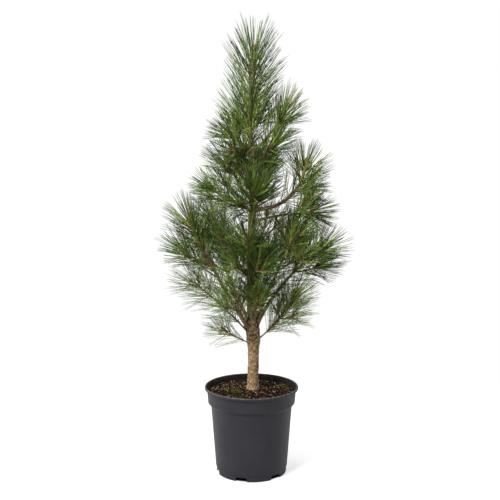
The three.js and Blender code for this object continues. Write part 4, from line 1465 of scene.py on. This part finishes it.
def soil_disc():
    """The soil's skin: rings of points, each turned by half a step, and a skirt."""
    rows = [(0.0, 0.0, soil_height(0, 0))]
    for i in range(1, SOIL_RINGS + 1):
        radius = SOIL_RADIUS * i / SOIL_RINGS
        for k in range(SOIL_SPOKES):
            angle = 2 * math.pi * (k + 0.5 * (i % 2)) / SOIL_SPOKES
            x, y = radius * math.cos(angle), radius * math.sin(angle)
            rows.append((x, y, soil_height(x, y)))
    faces = []
    for k in range(SOIL_SPOKES):
        faces.append([0, 1 + k, 1 + (k + 1) % SOIL_SPOKES])
    for i in range(SOIL_RINGS - 1):
        a, b = 1 + i * SOIL_SPOKES, 1 + (i + 1) * SOIL_SPOKES
        for k in range(SOIL_SPOKES):
            n = (k + 1) % SOIL_SPOKES
            faces.append([a + k, b + k, b + n, a + n])
    skirt = len(rows)
    last = 1 + (SOIL_RINGS - 1) * SOIL_SPOKES
    for k in range(SOIL_SPOKES):
        x, y, _ = rows[last + k]
        rows.append((x * SKIRT_SHARE, y * SKIRT_SHARE, SOIL_AT_WALL - SKIRT_DEPTH))
    for k in range(SOIL_SPOKES):
        n = (k + 1) % SOIL_SPOKES
        faces.append([last + k, skirt + k, skirt + n, last + n])
    faces.append([skirt + k for k in reversed(range(SOIL_SPOKES))])
    return np.array(rows), faces


def soil_material():
    """Nearly black peat with brown crumbs."""
    material, tree, shader = new_material("peat", 0.95, 0.05)
    colour = add_ramp(
        tree,
        noise_texture(tree, 5, 8, 0.75),
        [(0.38, (0.003, 0.002, 0.001)), (0.56, (0.013, 0.008, 0.004)), (0.76, (0.08, 0.043, 0.02))],
    )
    tree.links.new(colour, shader.inputs["Base Color"])
    add_bump(tree, shader, noise_texture(tree, 1.5, 8, 0.8), 1.0, 1.0)
    return material


peat = soil_material()
soil = add_piece("soil_surface", *soil_disc(), [peat])
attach(soil, "root")
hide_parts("soil")

# %% [markdown]
# ## A crumb of soil
# Peat crumbs, bark chips and white specks are all small rough lumps. Little spheres would look
# like beads. So a lump starts as a body of twenty triangles, and its corners are pushed in and
# out, squeezed and turned by the dice. Enough shapes come of it, and each costs few faces.

# %% Shape one rough lump
GOLDEN = (1 + math.sqrt(5)) / 2
LUMP = np.array(
    [
        [-1, GOLDEN, 0], [1, GOLDEN, 0], [-1, -GOLDEN, 0], [1, -GOLDEN, 0],
        [0, -1, GOLDEN], [0, 1, GOLDEN], [0, -1, -GOLDEN], [0, 1, -GOLDEN],
        [GOLDEN, 0, -1], [GOLDEN, 0, 1], [-GOLDEN, 0, -1], [-GOLDEN, 0, 1],
    ]
) / math.hypot(1, GOLDEN)
LUMP_FACES = [
    [0, 11, 5], [0, 5, 1], [0, 1, 7], [0, 7, 10], [0, 10, 11],
    [1, 5, 9], [5, 11, 4], [11, 10, 2], [10, 7, 6], [7, 1, 8],
    [3, 9, 4], [3, 4, 2], [3, 2, 6], [3, 6, 8], [3, 8, 9],
    [4, 9, 5], [2, 4, 11], [6, 2, 10], [8, 6, 7], [9, 8, 1],
]
LUMP_ROUGHNESS = (0.72, 1.18)


def turn_matrix(throw):
    """A turn about an axis picked by the dice."""
    axis = unit(np.array([throw(-1, 1), throw(-1, 1), throw(-1, 1.01)]))
    angle = throw(0, 2 * math.pi)
    x, y, z = axis
    cross = np.array([[0, -z, y], [z, 0, -x], [-y, x, 0]])
    return np.eye(3) + math.sin(angle) * cross + (1 - math.cos(angle)) * cross @ cross


def rough_lump(throw, size):
    """Points of one lump of a size, or of three sizes, turned its own way."""
    rough = LUMP * np.array([[throw(*LUMP_ROUGHNESS)] for _ in LUMP]) * size
    return rough @ turn_matrix(throw).T


print("faces of one lump:", len(LUMP_FACES))

# %% [markdown]
# ## Crumbs, chips and specks
# Nursery soil is a mix: black and brown peat, flat chips of bark, bits of wood and white
# specks. A scatter system could spread them, but its copies would all be alike. Each kind is
# strewn by its own dice, most of its lumps small and a few large, and joined into one mesh.

# %% Strew crumbs, chips and specks
TRUNK_CLEAR = 16
STREW_REACH = 0.985
STREW_OVERHANG = 0.3
MOSTLY_SMALL = 3
SQUEEZE = (0.8, 1.2)
FIRST_STREW_SEED = 400


def strew(throw, count, smallest, largest, stretch, rise):
    """Rough lumps half sunk in the soil: most are small, each squeezed and turned its own way."""
    parts = []
    while len(parts) < count:
        radius = SOIL_RADIUS * math.sqrt(throw(0, 1)) * STREW_REACH
        angle = throw(0, 2 * math.pi)
        x, y = radius * math.cos(angle), radius * math.sin(angle)
        size = smallest + (largest - smallest) * throw(0, 1) ** MOSTLY_SMALL
        lump = rough_lump(throw, np.array([size * throw(*SQUEEZE) * share for share in stretch]))
        near_trunk = math.hypot(x - TRUNK[0, 1], y) < TRUNK_CLEAR
        if near_trunk or radius + size > SOIL_RADIUS + STREW_OVERHANG:
            continue
        place = np.array([x, y, soil_height(x, y) + size * rise])
        parts.append((lump + place, LUMP_FACES))
    return parts


def plain_soil_material(name, dark, light, roughness=0.9):
    """A dull finish, clouded between two colours."""
    material, tree, shader = new_material(name, roughness, 0.05)
    colour = add_ramp(tree, noise_texture(tree, 6), [(0.35, dark), (0.65, light)])
    tree.links.new(colour, shader.inputs["Base Color"])
    add_bump(tree, shader, noise_texture(tree, 1.5), 0.8, 0.5)
    return material


peat_brown = plain_soil_material("peat_brown", (0.011, 0.006, 0.003), (0.06, 0.031, 0.014))
bark_chip = plain_soil_material("bark_chip", (0.05, 0.026, 0.012), (0.20, 0.115, 0.058))
wood_bit = plain_soil_material("wood_bit", (0.28, 0.19, 0.12), (0.50, 0.38, 0.26))
white_speck = plain_soil_material("white_speck", (0.55, 0.52, 0.46), (0.80, 0.78, 0.72))
# Name, finish, number, smallest and largest size, stretch, and rise as a share of the size
STREWN = [
    ("peat_crumbs", peat, 1900, 0.7, 2.9, (1, 1, 0.8), 0.2),
    ("brown_crumbs", peat_brown, 1300, 0.6, 2.7, (1.2, 0.9, 0.7), 0.3),
    ("bark_chips", bark_chip, 280, 1.0, 4.0, (1.5, 0.8, 0.3), 0.25),
    ("wood_bits", wood_bit, 420, 0.5, 1.9, (1.6, 0.7, 0.4), 0.35),
    ("white_specks", white_speck, 190, 0.5, 1.3, (1, 1, 0.9), 0.5),
]
for order, (name, finish, count, smallest, largest, stretch, rise) in enumerate(STREWN):
    parts = strew(make_dice(FIRST_STREW_SEED + order), count, smallest, largest, stretch, rise)
    piece = add_piece(name, *join_parts(parts), [finish], smooth=False)
    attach(piece, "root")

# %% [markdown]
# ## The trunk's foot
# Where the trunk goes into the soil, crumbs are banked up against it. Without them there would
# be a clean line, as if the tree stood on the soil. Strewing more crumbs everywhere would hide
# it too, but a ring of its own needs far fewer.

# %% Bank crumbs up round the trunk
FOOT_CRUMBS = 150
FOOT_RING = (16.5, 23)
FOOT_CRUMB_SIZES = (1.0, 2.8)
FOOT_CRUMB_RISE = 0.3
FOOT_SEED = 77


def foot_crumbs(throw):
    """Lumps in a ring round the trunk, half sunk in the soil."""
    parts = []
    for _ in range(FOOT_CRUMBS):
        radius, angle = throw(*FOOT_RING), throw(0, 2 * math.pi)
        x, y = TRUNK[0, 1] + radius * math.cos(angle), radius * math.sin(angle)
        size = throw(*FOOT_CRUMB_SIZES)
        place = np.array([x, y, soil_height(x, y) + size * FOOT_CRUMB_RISE])
        parts.append((rough_lump(throw, size) + place, LUMP_FACES))
    return parts


banked_parts = join_parts(foot_crumbs(make_dice(FOOT_SEED)))
banked = add_piece("foot_crumbs", *banked_parts, [peat_brown], smooth=False)
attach(banked, "root")

# %% [markdown]
# ## Moss
# A few small cushions of yellow-green moss grow on the peat. A green blot on the soil would look
# painted. A cushion is many tiny upright shoots, so it is built as a crowd of short spikes,
# thinning out at its edge.

# %% Grow the moss
# Middle, reach and number of shoots
MOSS_CUSHIONS = [
    ((-40, -16), 17, 620), ((-64, 4), 10, 160), ((82, 52), 15, 380), ((88, 30), 9, 130),
]
MOSS_SEED = 61
MOSS_CROWDING = 0.7
MOSS_MARGIN = 1
MOSS_HEIGHT = 2.6
MOSS_HEIGHTS = (0.6, 1.2)
MOSS_MIDDLE_SHARE = 1.1
MOSS_EDGE_LOSS = 0.6
MOSS_LEAN = (-0.6, 0.6)
# Corners of a spike's foot: along and across
MOSS_FOOT = ((0.6, 0), (-0.4, 0.5), (-0.4, -0.5))


def moss_spikes(throw):
    """Spikes of three faces, shorter and fewer towards the edge of their cushion."""
    parts = []
    for (x, y), reach, count in MOSS_CUSHIONS:
        for _ in range(count):
            radius = reach * throw(0, 1) ** MOSS_CROWDING
            angle = throw(0, 2 * math.pi)
            px, py = x + radius * math.cos(angle), y + radius * math.sin(angle)
            if math.hypot(px, py) > SOIL_RADIUS - MOSS_MARGIN:
                continue
            share = MOSS_MIDDLE_SHARE - MOSS_EDGE_LOSS * radius / reach
            height = MOSS_HEIGHT * throw(*MOSS_HEIGHTS) * share
            foot = np.array([px, py, soil_height(px, py)])
            lean = np.array([throw(*MOSS_LEAN), throw(*MOSS_LEAN), 1.0])
            level, upward = cross_axes(unit(lean))
            corners = [foot + level * along + upward * across for along, across in MOSS_FOOT]
            corners.append(foot + lean * height)
            parts.append((np.array(corners), [[0, 1, 3], [1, 2, 3], [2, 0, 3]]))
    return parts


moss_finish = plain_soil_material("moss", (0.035, 0.04, 0.006), (0.13, 0.125, 0.018), 0.8)
moss_parts = join_parts(moss_spikes(make_dice(MOSS_SEED)))
moss = add_piece("moss", *moss_parts, [moss_finish], smooth=False)
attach(moss, "root")

# %% [markdown]
# ## Lights
# The plant stands in soft studio light: a large key from the front left, a weaker fill from the
# right, one from above, and strips at both sides for the pot's bright edges. Small lamps would
# throw hard shadows of every needle, so all five are area lamps about a metre or more wide.

# %% Hang the lights
# Name, place, what it points at, size and power
LIGHTS = [
    ("key", (-1.5, -2.1, 2.8), (0, 0, 0.7), 1.1, 195),
    ("fill", (2.3, -1.9, 1.5), (0, 0, 0.6), 1.8, 10),
    ("top", (0.1, 0.2, 3.1), (0, 0, 0.3), 1.6, 95),
    ("left_strip", (-2.0, 0.8, 0.9), (0, 0, 0.5), 1.0, 22),
    ("right_strip", (2.0, 0.8, 0.9), (0, 0, 0.5), 1.0, 12),
]


def area_light(name, place, target, size, power):
    """A square lamp at one place, turned towards another."""
    lamp = bpy.data.lights.new(name, "AREA")
    lamp.size = size
    lamp.energy = power
    holder = bpy.data.objects.new(name, lamp)
    holder.location = place
    holder.rotation_euler = (Vector(target) - Vector(place)).to_track_quat("-Z", "Y").to_euler()
    bpy.context.scene.collection.objects.link(holder)


for light in LIGHTS:
    area_light(*light)
print("lights:", [light[0] for light in LIGHTS])

# %% [markdown]
# ## World and floor
# In the picture, floor and background are one even white. A curved paper sweep could give that,
# but it would show from behind. Here the world and the far floor are white to the camera and
# dimmer as light, so that the needles keep their depth. Near the pot the floor is part matt, and
# takes the pot's shadow, and part glow, which is painted light that makes that shadow fainter.

# %% Lay the floor under a white sky
FLOOR_SIZE = 60
FADE_START = 0.4
FADE_END = 1.4
# Share of glow near the pot: painted light that makes the pot's shadow fainter
GLOW_NEAR_POT = 0.6
WORLD_LIGHT = 0.32
FLOOR_LIGHT = 0.3
FLOOR_SHADES = [(0.3, (0.86, 0.86, 0.86)), (0.7, (0.9, 0.9, 0.9))]
FLOOR_CLOUDS = 400

world = bpy.data.worlds.new("studio")
world.use_nodes = True
bpy.context.scene.world = world
sky = world.node_tree.nodes["Background"]
sky.inputs["Color"].default_value = (1, 1, 1, 1)


def white_to_camera(tree, strength, light):
    """Full white where the camera looks at it, and dimmer as a light."""
    paths = add_node(tree, "ShaderNodeLightPath")
    share = add_node(tree, "ShaderNodeMapRange")
    share.inputs["To Min"].default_value = light
    tree.links.new(paths.outputs["Is Camera Ray"], share.inputs["Value"])
    tree.links.new(share.outputs[0], strength)


white_to_camera(world.node_tree, sky.inputs["Strength"], WORLD_LIGHT)
bpy.context.scene.view_settings.view_transform = "Standard"


def floor_finish():
    """Part matt, part painted-light glow near the pot, fading into the world's white farther out.
    """
    material, tree, shader = new_material("pale_floor", 0.7)
    colour = add_ramp(tree, noise_texture(tree, FLOOR_CLOUDS, 2), FLOOR_SHADES)
    tree.links.new(colour, shader.inputs["Base Color"])
    glow = add_node(tree, "ShaderNodeEmission")
    white_to_camera(tree, glow.inputs["Strength"], FLOOR_LIGHT)
    away = add_node(tree, "ShaderNodeVectorMath", operation="LENGTH")
    tree.links.new(object_places(tree), away.inputs[0])
    fade = add_node(tree, "ShaderNodeMapRange", interpolation_type="SMOOTHSTEP")
    fade.inputs["From Min"].default_value = FADE_START
    fade.inputs["From Max"].default_value = FADE_END
    fade.inputs["To Min"].default_value = GLOW_NEAR_POT
    tree.links.new(away.outputs["Value"], fade.inputs["Value"])
    blend = add_node(tree, "ShaderNodeMixShader")
    tree.links.new(fade.outputs[0], blend.inputs[0])
    tree.links.new(shader.outputs[0], blend.inputs[1])
    tree.links.new(glow.outputs[0], blend.inputs[2])
    output = tree.nodes["Material Output"]
    tree.links.new(blend.outputs[0], output.inputs["Surface"])
    return material


half = FLOOR_SIZE / 2 / MM
corners = [(-half, -half, 0), (half, -half, 0), (half, half, 0), (-half, half, 0)]
floor = add_piece("floor", corners, [[0, 1, 2, 3]], [floor_finish()])
floor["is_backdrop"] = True

# %% [markdown]
# ## Measure and finish
# The box round everything that is shown is printed, as the imported model's box was at the
# start. The dressed plant has to stay the size of the imported model. It could be measured by
# hand in Blender instead.

# %% Write the sizes and finish
low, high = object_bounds()
print("visual box:", [round(v, 3) for v in low], [round(v, 3) for v in high])
